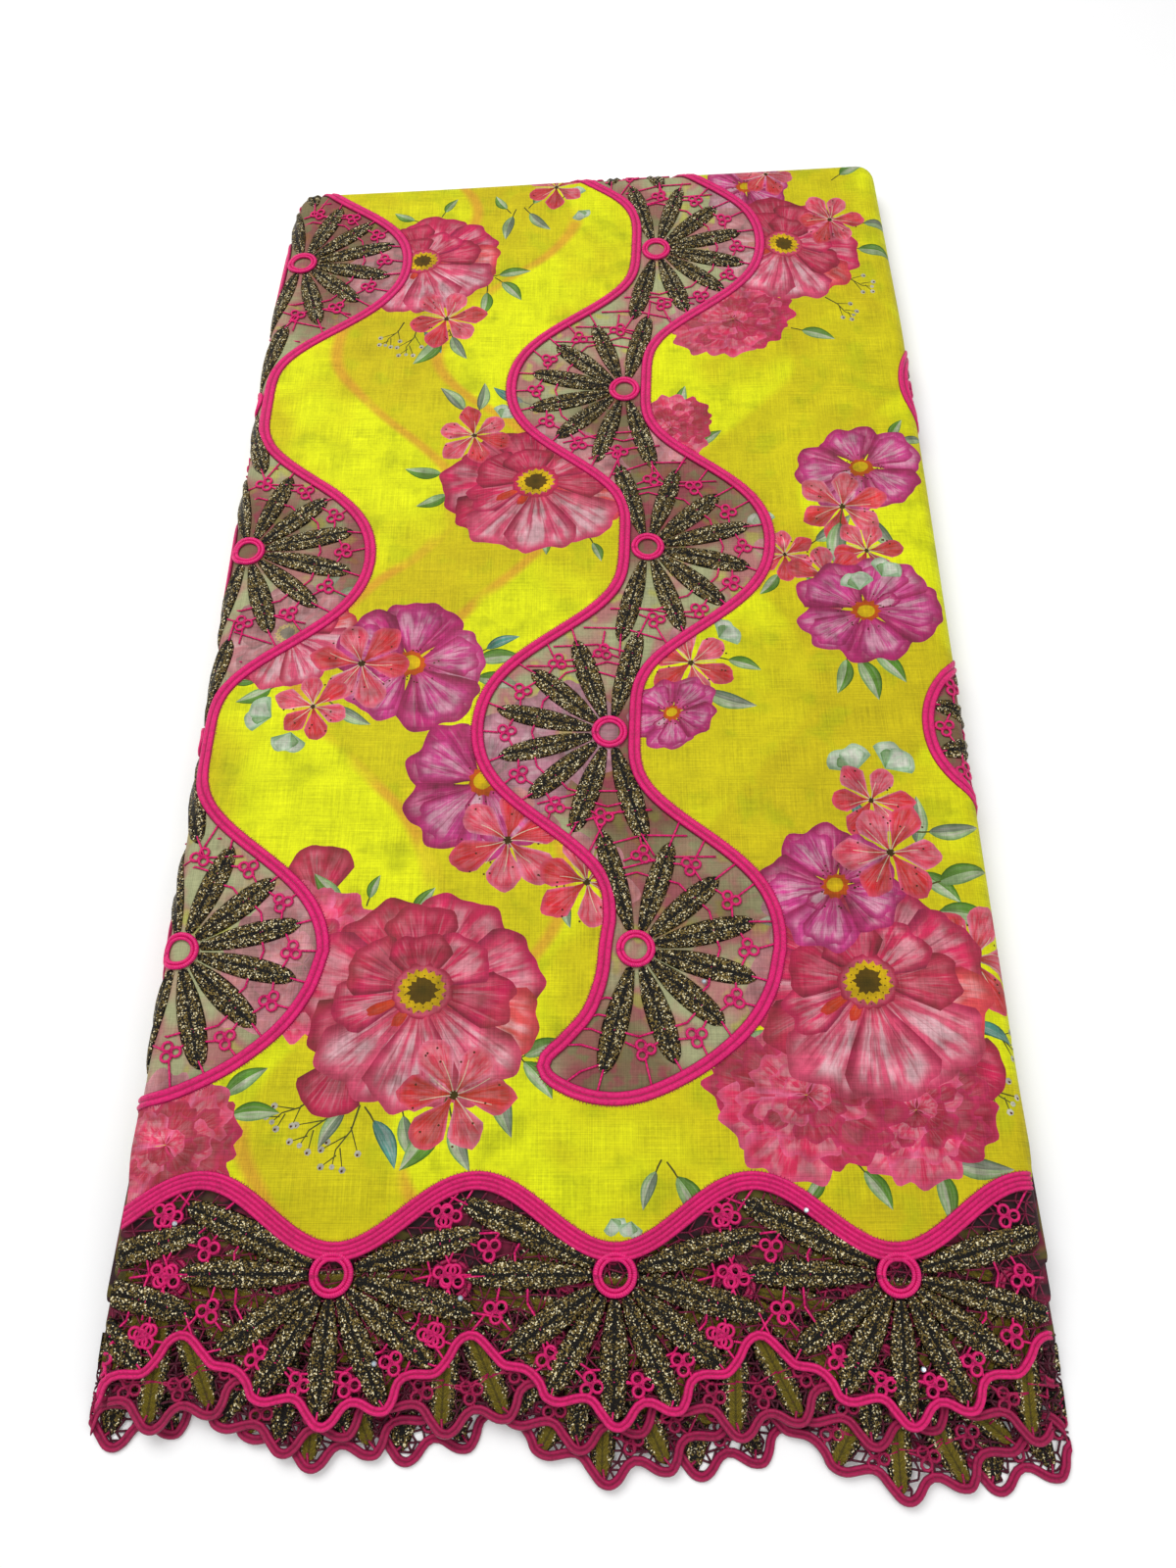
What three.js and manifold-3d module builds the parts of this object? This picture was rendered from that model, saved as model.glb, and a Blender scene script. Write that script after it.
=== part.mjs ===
// A folded length of printed voile with cutwork lace, lying flat on its hidden plies.
// Millimetres, +Z up. The scalloped selvedges point to -Y and the far fold to +Y.
//
// Each ply is drawn flat, as (across, along, lift): across from the packet's middle,
// along from the line of the arches between the scallops, lift above the ply's underside.
// place() then lays those points over the packet.

import * as THREE from 'three';
import { mergeVertices } from 'three/addons/utils/BufferGeometryUtils.js';
import Module from 'manifold-3d';

const wasm = await Module();
wasm.setup();

// Folded packet
const HALF_WIDTH = 182; // middle to side fold, nominal
const FOLD_LINE = 650; // scallop datum to the far fold
const SEAT = 21; // height of the top ply's underside
const TURN = 8; // radius of the top ply's turn over a fold
const CORNER = 3; // plan radius of the far corners, where the turn starts
const CORNER_EASE = 6; // how much rounder the hidden plies' corners are
const SKEW = 0.08; // how far the far fold runs out of square
const CLEAR = 0.3; // space between neighbouring pieces
const SEAM = 0.4; // space between the voile and a lace band
const CENTRE_ACROSS = -3.65; // middle of the packet's box
const CENTRE_ALONG = 303.2;

// Side folds, as they lie: x of each at stations along the packet
const SIDES = [
  { along: -60, left: -194, right: 186 },
  { along: 100, left: -187, right: 181.5 },
  { along: 520, left: -183.5, right: 181.5 },
  { along: 660, left: -176.5, right: 177.5 },
];

// How far the plies fall towards the scallops
const FALL = [
  { along: -32, drop: 12.6 },
  { along: 55, drop: 0 },
];

// Cloth and lace thicknesses
const VOILE = 1;
const WEB = 1.2;
const LOW_PLY = 1.6;
const SIDE_START = HALF_WIDTH - TURN - VOILE; // where the turn over a side fold starts
const FAR_START = FOLD_LINE - TURN - VOILE;
const CORD_RISE = 2;
const PETAL_RISE = 2.4;
const RING_RISE = 2;
const PLY_RISE = 2.1; // from one ply of the selvedge to the next

// How much of its turn the top ply takes at the side folds
const SKIRT = [
  { along: -60, turned: 1 / 3 },
  { along: 55, turned: 1 / 3 },
  { along: 72, turned: 0.7 },
  { along: 92, turned: 1 },
];

// Lace bands: a snake of fans that open right and left by turns
const REPEAT = 214;
const BAND_DATUM = 369; // along, where centre is measured
const BAND_HALF = 31.1;
const BAND_CORD = 6;
const WAVE = { first: 35.8, second: 3.1, third: -2.75 };
const HUB_OFFSET = 7.7; // from the band's middle to a fan's hub
// A band's left edge keeps to the left of its limit, which lies past the side fold
const BANDS = [
  { name: 'band_left', centre: -179.5, lean: 0.011, crest: 363, hub: 5, ends: true, limit: -193 },
  { name: 'band_middle', centre: 24.4, lean: 0.042, crest: 373, hub: -4, ends: true },
  { name: 'band_right_near', centre: 233.5, lean: 0.06, crest: 373, hub: -2, from: 200, to: 340 },
  { name: 'band_right_far', centre: 233.5, lean: 0.06, crest: 373, hub: -2, from: 410, to: 540 },
];
const BAND_STEP = 15.2; // between the points of a band's edge, longer than the turn
const BAND_RUN = 45.6; // how far a band is drawn past the far fold, then clipped

// Outer edge of a band's closed end, from its last hub
const BAND_END = [
  { across: 55, along: -16 },
  { across: 46, along: -31 },
  { across: 32, along: -44 },
  { across: 16, along: -54 },
  { across: 0, along: -60.5 },
  { across: -14, along: -61.5 },
  { across: -27, along: -58 },
  { across: -36, along: -51 },
  { across: -28, along: -42 },
  { across: -18, along: -30 },
  { across: -12, along: -14 },
  { across: -10, along: 2 },
];

// Petals round a hub: angle from the way that the fan opens, and reach from the hub
const BAND_PETALS = [
  { angle: -105, reach: 57.5 },
  { angle: -72, reach: 53.5 },
  { angle: -42, reach: 51 },
  { angle: -14, reach: 54 },
  { angle: 14, reach: 54 },
  { angle: 42, reach: 51 },
  { angle: 72, reach: 53.5 },
  { angle: 105, reach: 57.5 },
];
const BORDER_PETALS = [
  { angle: -114, reach: 66 },
  { angle: -90, reach: 58 },
  { angle: -56, reach: 50 },
  { angle: -30, reach: 49 },
  { angle: -1, reach: 51 },
  { angle: 26, reach: 52 },
  { angle: 51, reach: 53 },
  { angle: 76, reach: 59 },
  { angle: 105, reach: 61 },
];
const PETAL_ROOT = 9.4;
const PETAL_HALF = 4.85;
const PETAL_STATIONS = [
  { part: 0, width: 0.3, rise: 0.6 },
  { part: 0.42, width: 0.95, rise: 1 },
  { part: 0.8, width: 0.75, rise: 0.85 },
];
const EYELET = 5;
const RING = 8.6;
const RING_SIDES = 8;
const EYELET_SIDES = 6;

// Cut gaps between two petals
const WEDGE = { near: 19, far: 31.5, half: 2.3 };
const WINDOW = { near: 34.5, far: 41.5, half: 4.3 };

// Scalloped selvedge
const SCALLOP = 108.5;
const LOBES = [
  { across: -45, along: -8 },
  { across: -33, along: -12 },
  { across: -26, along: -22 },
  { across: -11, along: -23 },
  { across: -5, along: -29.5 },
  { across: 1, along: -32.3 },
  { across: 7, along: -28.5 },
  { across: 10, along: -24 },
  { across: 20, along: -26.5 },
  { across: 27, along: -24 },
  { across: 31, along: -15 },
  { across: 43, along: -13 },
  { across: 54.25, along: 0.5 },
];
const SCALLOP_CORD = 3.6;
const CREST_LINE = 45;
const CREST_DEPTH = 13.3;
const CREST_CORD = 7.5;
const BORDER_HUB = 23.4; // along
const HUB_ACROSS = 13.6; // of the top ply's middle fan
const PAST_SIDE = 215; // lines and strips are drawn this far out, then clipped
const PAST_FAR = 700;
const PAST_NEAR = -90;
const PAST_LIFT = 6; // cutters reach this high and half as low

// Plies of the selvedge, top one first: hub across, shift along, lean, back edge, half width
const PLIES = [
  { name: 'border_1', hub: HUB_ACROSS, shift: 0, lean: 0, back: 70, half: 200 },
  { name: 'border_2', hub: 59, shift: -3, lean: -0.012, back: 50, half: 174 },
  { name: 'border_3', hub: 0, shift: -8, lean: 0.01, back: 27, half: 177.5 },
  { name: 'border_4', hub: 10, shift: -19, lean: -0.05, back: 14, half: 180 },
  { name: 'border_5', hub: 44, shift: -15, lean: -0.045, back: 3, half: 182 },
];

// Edges of the hidden plies, upwards: height, and how far each lip stands in from the side fold
const LIPS = [
  { height: 0, inset: 3 },
  { height: 0.7, inset: 0.8 },
  { height: 2.5, inset: 0.8 },
  { height: 3.2, inset: 3.2 },
  { height: 3.9, inset: 0.2 },
  { height: 5.8, inset: 0.2 },
  { height: 6.5, inset: 3.4 },
  { height: 7.2, inset: 1.4 },
  { height: 9, inset: 1.4 },
  { height: 9.7, inset: 3.6 },
  { height: 10.4, inset: 0.9 },
  { height: 12, inset: 0.9 },
  { height: 12.7, inset: 1.3 },
];
const NOSE = -24; // along, of their near edge on the floor
const NEAR_CORNER = { across: 12, along: 3 }; // what is taken off their near corners
const CORNER_STEPS = 5;
const HIDDEN_STEPS = 4;
const NOSE_LIP = 1.1; // least height of the hidden plies at their near edge

const PINK = new THREE.Color(0.75, 0.01, 0.13);
const CRIMSON = new THREE.Color(0.33, 0.005, 0.06);
const LEMON = new THREE.Color(0.78, 0.8, 0.05);
const PALE_LEMON = new THREE.Color(0.62, 0.6, 0.06);
const GILT = new THREE.Color(0.16, 0.11, 0.03);

// Value of a table's column at a place along, in a straight line from row to row
function between(rows, along, column, key = 'along') {
  if (along <= rows[0][key]) return rows[0][column];
  for (let i = 1; i < rows.length; i += 1) {
    const low = rows[i - 1];
    const high = rows[i];
    if (along <= high[key]) {
      const part = (along - low[key]) / (high[key] - low[key]);
      return low[column] + (high[column] - low[column]) * part;
    }
  }
  return rows[rows.length - 1][column];
}

function fall(along) {
  return between(FALL, along, 'drop');
}

// Where a plan point of the squared packet lies on the real one
function planPoint(across, along) {
  const left = between(SIDES, along, 'left');
  const right = between(SIDES, along, 'right');
  const part = (across + HALF_WIDTH) / (2 * HALF_WIDTH);
  const skew = SKEW * across * Math.max(along / FOLD_LINE, 0) ** 4;
  return [left + (right - left) * part - CENTRE_ACROSS, along + skew - CENTRE_ALONG];
}

// How far a point lies past the line where the turn starts, and which way
function pastTurn(across, along) {
  const x = Math.abs(across) - SIDE_START + CORNER;
  const y = along - FAR_START + CORNER;
  const sign = Math.sign(across) || 1;
  if (x > 0 && y > 0) {
    const reach = Math.hypot(x, y);
    return { past: reach - CORNER, out: [(sign * x) / reach, y / reach] };
  }
  if (x > y) return { past: x - CORNER, out: [sign, 0] };
  return { past: y - CORNER, out: [0, 1] };
}

// A flat point laid over the packet: level on top, turned round the side and far folds
function place(across, along, lift, ply = 0) {
  const seat = SEAT - fall(along) - ply * PLY_RISE;
  const { past, out } = pastTurn(across, along);
  if (past <= 0 || ply > 0) return [...planPoint(across, along), seat + lift];
  const angle = Math.min(past / TURN, Math.PI / 2);
  const reach = (TURN + lift) * Math.sin(angle) - past;
  const height = seat - TURN + (TURN + lift) * Math.cos(angle);
  return [...planPoint(across + out[0] * reach, along + out[1] * reach), height];
}

// Solids are kept as manifolds while they are flat
function solidOf(geometry) {
  geometry.deleteAttribute('normal');
  geometry.deleteAttribute('uv');
  const merged = mergeVertices(geometry, 1e-4);
  const mesh = new wasm.Mesh({
    numProp: 3,
    vertProperties: Float32Array.from(merged.attributes.position.array),
    triVerts: Uint32Array.from(merged.index.array),
  });
  mesh.merge();
  return new wasm.Manifold(mesh);
}

function prism(points, bottom, top) {
  const shape = new THREE.Shape(points.map(([x, y]) => new THREE.Vector2(x, y)));
  const geometry = new THREE.ExtrudeGeometry(shape, { depth: top - bottom, bevelEnabled: false });
  return solidOf(geometry.translate(0, 0, bottom));
}

// A prism that reaches past every lift, to cut or clip with
function cutter(points) {
  return prism(points, -PAST_LIFT / 2, PAST_LIFT);
}

function joined(solids) {
  return solids.reduce((whole, solid) => whole.add(solid));
}

// A line moved sideways, to its right where distance is positive
function beside(line, distance, closed = false) {
  return line.map((point, i) => {
    const before = line[i - 1] ?? (closed ? line[line.length - 1] : point);
    const after = line[i + 1] ?? (closed ? line[0] : point);
    const dx = after[0] - before[0];
    const dy = after[1] - before[1];
    const length = Math.hypot(dx, dy);
    return [point[0] + (distance * dy) / length, point[1] - (distance * dx) / length];
  });
}

// A raised cord: the strip between two lines
function cord(line, near, far, rise) {
  return prism([...beside(line, near), ...beside(line, far).reverse()], 0, rise);
}

function polar(hub, angle, radius, offset = 0) {
  const cos = Math.cos(angle);
  const sin = Math.sin(angle);
  return [hub[0] + radius * cos - offset * sin, hub[1] + radius * sin + offset * cos];
}

// Angle of a petal in the flat cloth, for a fan that opens along `facing`
function petalAngle(facing, degrees) {
  return THREE.MathUtils.degToRad(facing + degrees);
}

// One petal: two low lobes beside a groove, with a pointed tip
function petal(hub, angle, reach) {
  const points = [];
  for (const { part, width, rise: share } of PETAL_STATIONS) {
    const radius = PETAL_ROOT + (reach - PETAL_ROOT) * part;
    const half = PETAL_HALF * width;
    const crest = WEB + (PETAL_RISE - WEB) * share;
    for (const [side, height] of [[-1, WEB], [-0.5, crest], [0.5, crest], [1, WEB]]) {
      points.push(...polar(hub, angle, radius, side * half), height);
    }
  }
  const tip = points.length / 3;
  points.push(...polar(hub, angle, reach), WEB);
  const ring = 4;
  const last = ring * (PETAL_STATIONS.length - 1);
  const faces = [0, 1, 2, 0, 2, 3];
  for (let row = 0; row < last; row += ring) {
    for (let i = 0; i < ring; i += 1) {
      const a = row + i;
      const b = row + ((i + 1) % ring);
      faces.push(a, a + ring, b, b, a + ring, b + ring);
    }
  }
  for (let i = 0; i < ring; i += 1) faces.push(last + i, tip, last + ((i + 1) % ring));
  const geometry = new THREE.BufferGeometry();
  geometry.setAttribute('position', new THREE.Float32BufferAttribute(points, 3));
  geometry.setIndex(faces);
  return solidOf(geometry);
}

function ringPoints(hub, radius, sides) {
  return Array.from({ length: sides }, (_, i) => polar(hub, (2 * Math.PI * i) / sides, radius));
}

// The gaps of one fan: its eyelet, and a wedge and a window between each two petals
function fanGaps(hub, facing, petals) {
  const gaps = [ringPoints(hub, EYELET, EYELET_SIDES)];
  for (let i = 1; i < petals.length; i += 1) {
    const angle = petalAngle(facing, (petals[i - 1].angle + petals[i].angle) / 2);
    for (const { near, far, half } of [WEDGE, WINDOW]) {
      gaps.push([
        polar(hub, angle, near),
        polar(hub, angle, far, -half),
        polar(hub, angle, far, half),
      ]);
    }
  }
  return gaps;
}

// Whether a place is on the packet's top, where fine relief shows
function onTop(across) {
  return Math.abs(across) < HALF_WIDTH - TURN / 4;
}

// The raised petals of one fan, where they show on top
function fanRelief(hub, facing, petals) {
  return petals
    .map(({ angle, reach }) => ({ angle: petalAngle(facing, angle), reach }))
    .filter(({ angle, reach }) => onTop(polar(hub, angle, reach)[0]))
    .map(({ angle, reach }) => petal(hub, angle, reach));
}

function hubRing(hub) {
  return prism(ringPoints(hub, RING, RING_SIDES), 0, RING_RISE);
}

// Flat outline of the top ply: past the side folds and the far fold, by its turn
function topOutline() {
  const past = (TURN * Math.PI) / 2;
  const radius = CORNER + past;
  const right = SKIRT.map(({ along, turned }) => [SIDE_START + past * turned, along]);
  for (let i = 0; i <= CORNER_STEPS; i += 1) {
    const angle = (Math.PI / 2) * (i / CORNER_STEPS);
    right.push([
      SIDE_START - CORNER + radius * Math.cos(angle),
      FAR_START - CORNER + radius * Math.sin(angle),
    ]);
  }
  return [...right, ...right.map(([x, y]) => [-x, y]).reverse()];
}

function bandEdge(band, side, along) {
  const angle = (2 * Math.PI * (along - band.crest)) / REPEAT;
  const middle = band.centre + band.lean * (along - BAND_DATUM);
  const half = BAND_HALF + WAVE.second * Math.cos(2 * angle);
  return middle + side * half + WAVE.first * Math.cos(angle) + WAVE.third * Math.cos(3 * angle);
}

// Hubs of a band's fans, each with the way that it opens
function bandFans(band) {
  const fans = [];
  for (let half = -2; half <= 3; half += 1) {
    const opens = half % 2 === 0 ? 1 : -1;
    const along = band.crest + (half * REPEAT) / 2 + band.hub;
    const across = band.centre + band.lean * (along - BAND_DATUM) + opens * HUB_OFFSET;
    fans.push({ hub: [across, along], facing: opens > 0 ? 0 : 180 });
  }
  return fans;
}

// The right edge upwards and the left edge downwards; a band that ends is closed by its end
function bandOutline(band) {
  const top = band.to ?? FOLD_LINE + BAND_RUN;
  const hub = bandFans(band)[0].hub;
  const start = band.ends ? hub[1] : band.from;
  // A point falls on the line where the far turn starts, and none inside the turn
  const span = (band.to ?? FAR_START) - start;
  const step = span / Math.round(span / BAND_STEP);
  const limited = (across) => Math.min(across, band.limit ?? Infinity);
  const right = [];
  const left = [];
  for (let along = start; along < top; along += step) {
    right.push([bandEdge(band, 1, along), along]);
    if (!band.ends || along > hub[1] + step) {
      left.push([limited(bandEdge(band, -1, along)), along]);
    }
  }
  const end = (band.ends ? BAND_END : []).map(({ across, along }) => {
    const x = hub[0] + across;
    return [across < -RING ? limited(x) : x, hub[1] + along];
  });
  return [...right, ...left.reverse(), ...end.reverse()];
}

function bandLace(band, outline) {
  const shape = bandOutline(band);
  const inner = beside(shape, -BAND_CORD, true);
  const fans = bandFans(band).filter(({ hub }) => hub[1] < FOLD_LINE + BAND_RUN);
  const web = prism(beside(shape, -BAND_CORD / 2, true), 0, WEB);
  const field = cutter(inner);
  const edgeCord = prism(shape, 0, CORD_RISE).subtract(field);
  const gaps = joined(fans.flatMap(({ hub, facing }) => fanGaps(hub, facing, BAND_PETALS))
    .filter((gap) => gap.some(([across]) => onTop(across)))
    .map((gap) => cutter(gap)));
  const relief = joined(fans.flatMap(({ hub, facing }) => [
    ...fanRelief(hub, facing, BAND_PETALS),
    ...(onTop(hub[0]) ? [hubRing(hub)] : []),
  ]));
  const body = web.add(relief.intersect(cutter(shape)));
  return body.subtract(gaps.intersect(field)).add(edgeCord).intersect(outline);
}

// Upper cord of the selvedge, between the voile and the border's fans
function crestLine() {
  const line = [];
  const step = SCALLOP / 10;
  for (let across = HUB_ACROSS - 2 * SCALLOP; across <= PAST_SIDE; across += step) {
    const wave = CREST_DEPTH * Math.cos((2 * Math.PI * (across - HUB_ACROSS)) / SCALLOP);
    line.push([across, CREST_LINE - wave]);
  }
  return line;
}

// Scalloped edge of one ply, from left to right
function scallopLine(ply) {
  const line = [];
  for (let repeat = -3; repeat <= 2; repeat += 1) {
    for (const { across, along } of LOBES) {
      const x = ply.hub + repeat * SCALLOP + across;
      line.push([x, along + ply.shift + ply.lean * x]);
    }
  }
  return line.filter(([x]) => Math.abs(x) < PAST_SIDE);
}

function scallopFans(ply) {
  const fans = [];
  for (let repeat = -2; repeat <= 2; repeat += 1) {
    const x = ply.hub + repeat * SCALLOP;
    if (Math.abs(x) < PAST_SIDE) fans.push([x, BORDER_HUB + ply.shift + ply.lean * x]);
  }
  return fans;
}

function clipped(ply, solid, outline) {
  const { half, back } = ply;
  const near = PAST_NEAR;
  const clip = cutter([[-half, near], [half, near], [half, back], [-half, back]]);
  return solid.intersect(clip).intersect(outline);
}

function gapPrisms(hubs, petals, back) {
  const gaps = hubs.flatMap((hub) => fanGaps(hub, -90, petals));
  return joined(gaps
    .filter((gap) => gap.every(([across, along]) => along < back && onTop(across)))
    .map((gap) => cutter(gap)));
}

// The top ply's selvedge: raised petals and hubs between a scalloped cord and a waved one
function topSelvedge(ply, outline) {
  const scallops = scallopLine(ply);
  const crest = crestLine();
  const middles = [...beside(scallops, -SCALLOP_CORD / 2), ...crest.slice().reverse()];
  const edges = [...scallops, ...beside(crest, -CREST_CORD / 2).reverse()];
  const field = [...beside(scallops, -SCALLOP_CORD), ...beside(crest, CREST_CORD / 2).reverse()];
  const hubs = scallopFans(ply);
  const relief = joined(hubs.flatMap((hub) => [
    ...fanRelief(hub, -90, BORDER_PETALS),
    ...(onTop(hub[0]) ? [hubRing(hub)] : []),
  ]));
  const gaps = gapPrisms(hubs, BORDER_PETALS, ply.back);
  const body = prism(middles, 0, WEB)
    .add(relief.intersect(cutter(edges)))
    .subtract(gaps.intersect(cutter(field)))
    .add(cord(scallops, 0, -SCALLOP_CORD, CORD_RISE))
    .add(cord(crest, -CREST_CORD / 2, CREST_CORD / 2, CORD_RISE));
  return clipped(ply, body, outline);
}

// A lower ply's selvedge: a plain strip with the same scallops and gaps
function lowSelvedge(ply, outline) {
  const scallops = scallopLine(ply);
  const back = [[PAST_SIDE, ply.back], [-PAST_SIDE, ply.back]];
  const field = cutter([...beside(scallops, -SCALLOP_CORD), ...back]);
  const petals = BORDER_PETALS.slice(2, -2);
  const gaps = gapPrisms(scallopFans(ply), petals, ply.shift);
  const body = prism([...scallops, ...back], 0, LOW_PLY).subtract(gaps.intersect(field));
  return clipped(ply, body, outline);
}

// The printed panel, parted at the bands and at the selvedge
function voilePanel(outline) {
  const near = beside(crestLine(), -CREST_CORD / 2 - CLEAR);
  const far = [[PAST_SIDE, PAST_FAR], [-PAST_SIDE, PAST_FAR]];
  const panel = prism([...near, ...far], 0, VOILE).intersect(outline);
  return panel.subtract(joined(BANDS.map((band) =>
    cutter(beside(bandOutline(band), SEAM, true)))));
}

// Triangles that cross a bend are split on it, so that the ply bends there
function splitAt(mesh, axis, at) {
  const { points, faces } = mesh;
  const cuts = new Map();
  const side = (i) => {
    const off = points[i][axis] - at;
    return Math.abs(off) < 1e-4 ? 0 : Math.sign(off);
  };
  const cut = (a, b) => {
    const key = a < b ? `${a},${b}` : `${b},${a}`;
    if (!cuts.has(key)) {
      const [low, high] = a < b ? [points[a], points[b]] : [points[b], points[a]];
      const part = (at - low[axis]) / (high[axis] - low[axis]);
      cuts.set(key, points.length);
      points.push(low.map((value, k) => value + (high[k] - value) * part));
    }
    return cuts.get(key);
  };
  const split = [];
  for (const face of faces) {
    const sides = face.map(side);
    if (!(sides.includes(1) && sides.includes(-1))) {
      split.push(face);
      continue;
    }
    // The corner that is alone on its side, or the one on the bend, comes first
    const turn = sides.includes(0)
      ? sides.indexOf(0)
      : sides.findIndex((value) => sides.filter((other) => other === value).length === 1);
    const [a, b, c] = [0, 1, 2].map((k) => face[(turn + k) % 3]);
    if (sides.includes(0)) {
      const m = cut(b, c);
      split.push([a, b, m], [a, m, c]);
    } else {
      const m = cut(a, b);
      const n = cut(a, c);
      split.push([a, m, n], [m, b, c], [m, c, n]);
    }
  }
  return { points, faces: split };
}

function bendLines(ply) {
  if (ply > 0) return FALL.map(({ along }) => [1, along]);
  const turns = [0, (TURN * Math.PI) / 4];
  return [
    ...turns.flatMap((turn) => [
      [0, SIDE_START + turn],
      [0, -SIDE_START - turn],
      [1, FAR_START + turn],
    ]),
    ...[...FALL, ...SIDES.slice(1, -1)].map(({ along }) => [1, along]),
  ];
}

// A flat solid laid over the packet as a named piece
function laid(name, solid, color, ply = 0) {
  const { vertProperties, triVerts } = solid.getMesh();
  let mesh = { points: [], faces: [] };
  for (let i = 0; i < vertProperties.length; i += 3) {
    mesh.points.push(Array.from(vertProperties.slice(i, i + 3)));
  }
  for (let i = 0; i < triVerts.length; i += 3) {
    mesh.faces.push(Array.from(triVerts.slice(i, i + 3)));
  }
  for (const [axis, at] of bendLines(ply)) mesh = splitAt(mesh, axis, at);
  const placed = mesh.points.flatMap(([across, along, lift]) => place(across, along, lift, ply));
  return piece(name, placed, mesh.faces.flat(), color);
}

function piece(name, positions, index, color) {
  const geometry = new THREE.BufferGeometry();
  geometry.setAttribute('position', new THREE.Float32BufferAttribute(positions, 3));
  geometry.setIndex(index);
  const material = new THREE.MeshStandardMaterial({ color, roughness: 0.8, metalness: 0 });
  const mesh = new THREE.Mesh(geometry, material);
  mesh.name = name;
  return mesh;
}

// Levels of the hidden plies, upwards: height, inset from the side fold, near edge along.
// The near edge is a stair that carries each ply of the selvedge.
function packetLevels() {
  const stair = [{ height: 0, along: NOSE }];
  for (let ply = PLIES.length - 1; ply > 0; ply -= 1) {
    const front = ply === PLIES.length - 1 ? NOSE + NOSE_LIP : PLIES[ply + 1].back + CLEAR;
    const stops = [front, ...FALL.map((row) => row.along), PLIES[ply].back + CLEAR];
    for (const along of stops.filter((t) => t >= front && t <= PLIES[ply].back + CLEAR)) {
      const height = SEAT - fall(along) - ply * PLY_RISE - CLEAR;
      stair.push({ height: Math.max(height, NOSE_LIP), along });
    }
  }
  stair.push({ height: SEAT - CLEAR, along: FALL[FALL.length - 1].along + CLEAR });
  const shoulder = [0, 1, 2].map((k) => {
    const angle = (Math.PI / 4) * k;
    const radius = TURN - CLEAR;
    return {
      height: SEAT - TURN + radius * Math.sin(angle),
      inset: VOILE + CLEAR + radius * (1 - Math.cos(angle)),
    };
  });
  const sides = [...LIPS, ...shoulder];
  const heights = [...stair, ...sides].map((row) => row.height);
  const levels = [...new Set(heights.map((height) => Math.round(height * 100) / 100))];
  return levels.sort((a, b) => a - b).map((height) => ({
    height,
    inset: between(sides, height, 'inset', 'height'),
    near: between(stair, height, 'along', 'height'),
  }));
}

// Outline of one level, the same number of points on each
function levelRing({ height, inset, near }) {
  const side = HALF_WIDTH - inset;
  const far = FOLD_LINE - inset;
  const radius = CORNER + CORNER_EASE + TURN + VOILE - inset;
  const half = [[side - NEAR_CORNER.across, near]];
  const along = [near + NEAR_CORNER.along, ...SIDES.map((row) => row.along).slice(1, -1)];
  for (const t of along) half.push([side, t]);
  for (let i = 0; i <= HIDDEN_STEPS; i += 1) {
    const angle = (Math.PI / 2) * (i / HIDDEN_STEPS);
    half.push([side - radius + radius * Math.cos(angle), far - radius + radius * Math.sin(angle)]);
  }
  const ring = [...half, ...half.map(([x, y]) => [-x, y]).reverse()];
  return ring.flatMap(([x, y]) => [...planPoint(x, y), height]);
}

function hiddenLayers() {
  const rings = packetLevels().map(levelRing);
  const count = rings[0].length / 3;
  const faces = [];
  for (let level = 1; level < rings.length; level += 1) {
    for (let i = 0; i < count; i += 1) {
      const a = (level - 1) * count + i;
      const b = (level - 1) * count + ((i + 1) % count);
      faces.push(a, b, b + count, a, b + count, a + count);
    }
  }
  const outline = (points) => {
    const flat = [];
    for (let i = 0; i < points.length; i += 3) flat.push(new THREE.Vector2(points[i], points[i + 1]));
    return THREE.ShapeUtils.triangulateShape(flat, []);
  };
  const top = (rings.length - 1) * count;
  for (const [a, b, c] of outline(rings[0])) faces.push(a, c, b);
  for (const [a, b, c] of outline(rings[rings.length - 1])) faces.push(top + a, top + b, top + c);
  return piece('hidden_layers', rings.flat(), faces, PALE_LEMON);
}

const outline = cutter(topOutline());
const group = new THREE.Group();
group.add(hiddenLayers());
group.add(laid('top_voile', voilePanel(outline), LEMON));
for (const band of BANDS) group.add(laid(band.name, bandLace(band, outline), GILT));
const [topPly, ...lowPlies] = PLIES;
group.add(laid(topPly.name, topSelvedge(topPly, outline), PINK));
lowPlies.forEach((ply, index) => {
  group.add(laid(ply.name, lowSelvedge(ply, outline), CRIMSON, index + 1));
});

export default group;
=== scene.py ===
"""A folded length of printed voile with cutwork lace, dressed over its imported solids.

The cloth is drawn flat in millimetres, as (across, along, lift): across from the middle of
the packet, along from the line of the arches between the scallops, and lift above the
underside of the ply. Packet.place() lays such points over the packet and gives metres.
"""

import logging
import math
from collections.abc import Callable, Sequence
from dataclasses import dataclass, field
from enum import Enum
from typing import NamedTuple

import bmesh
import bpy
import numpy as np
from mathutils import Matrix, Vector
from mathutils.geometry import delaunay_2d_cdt


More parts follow.
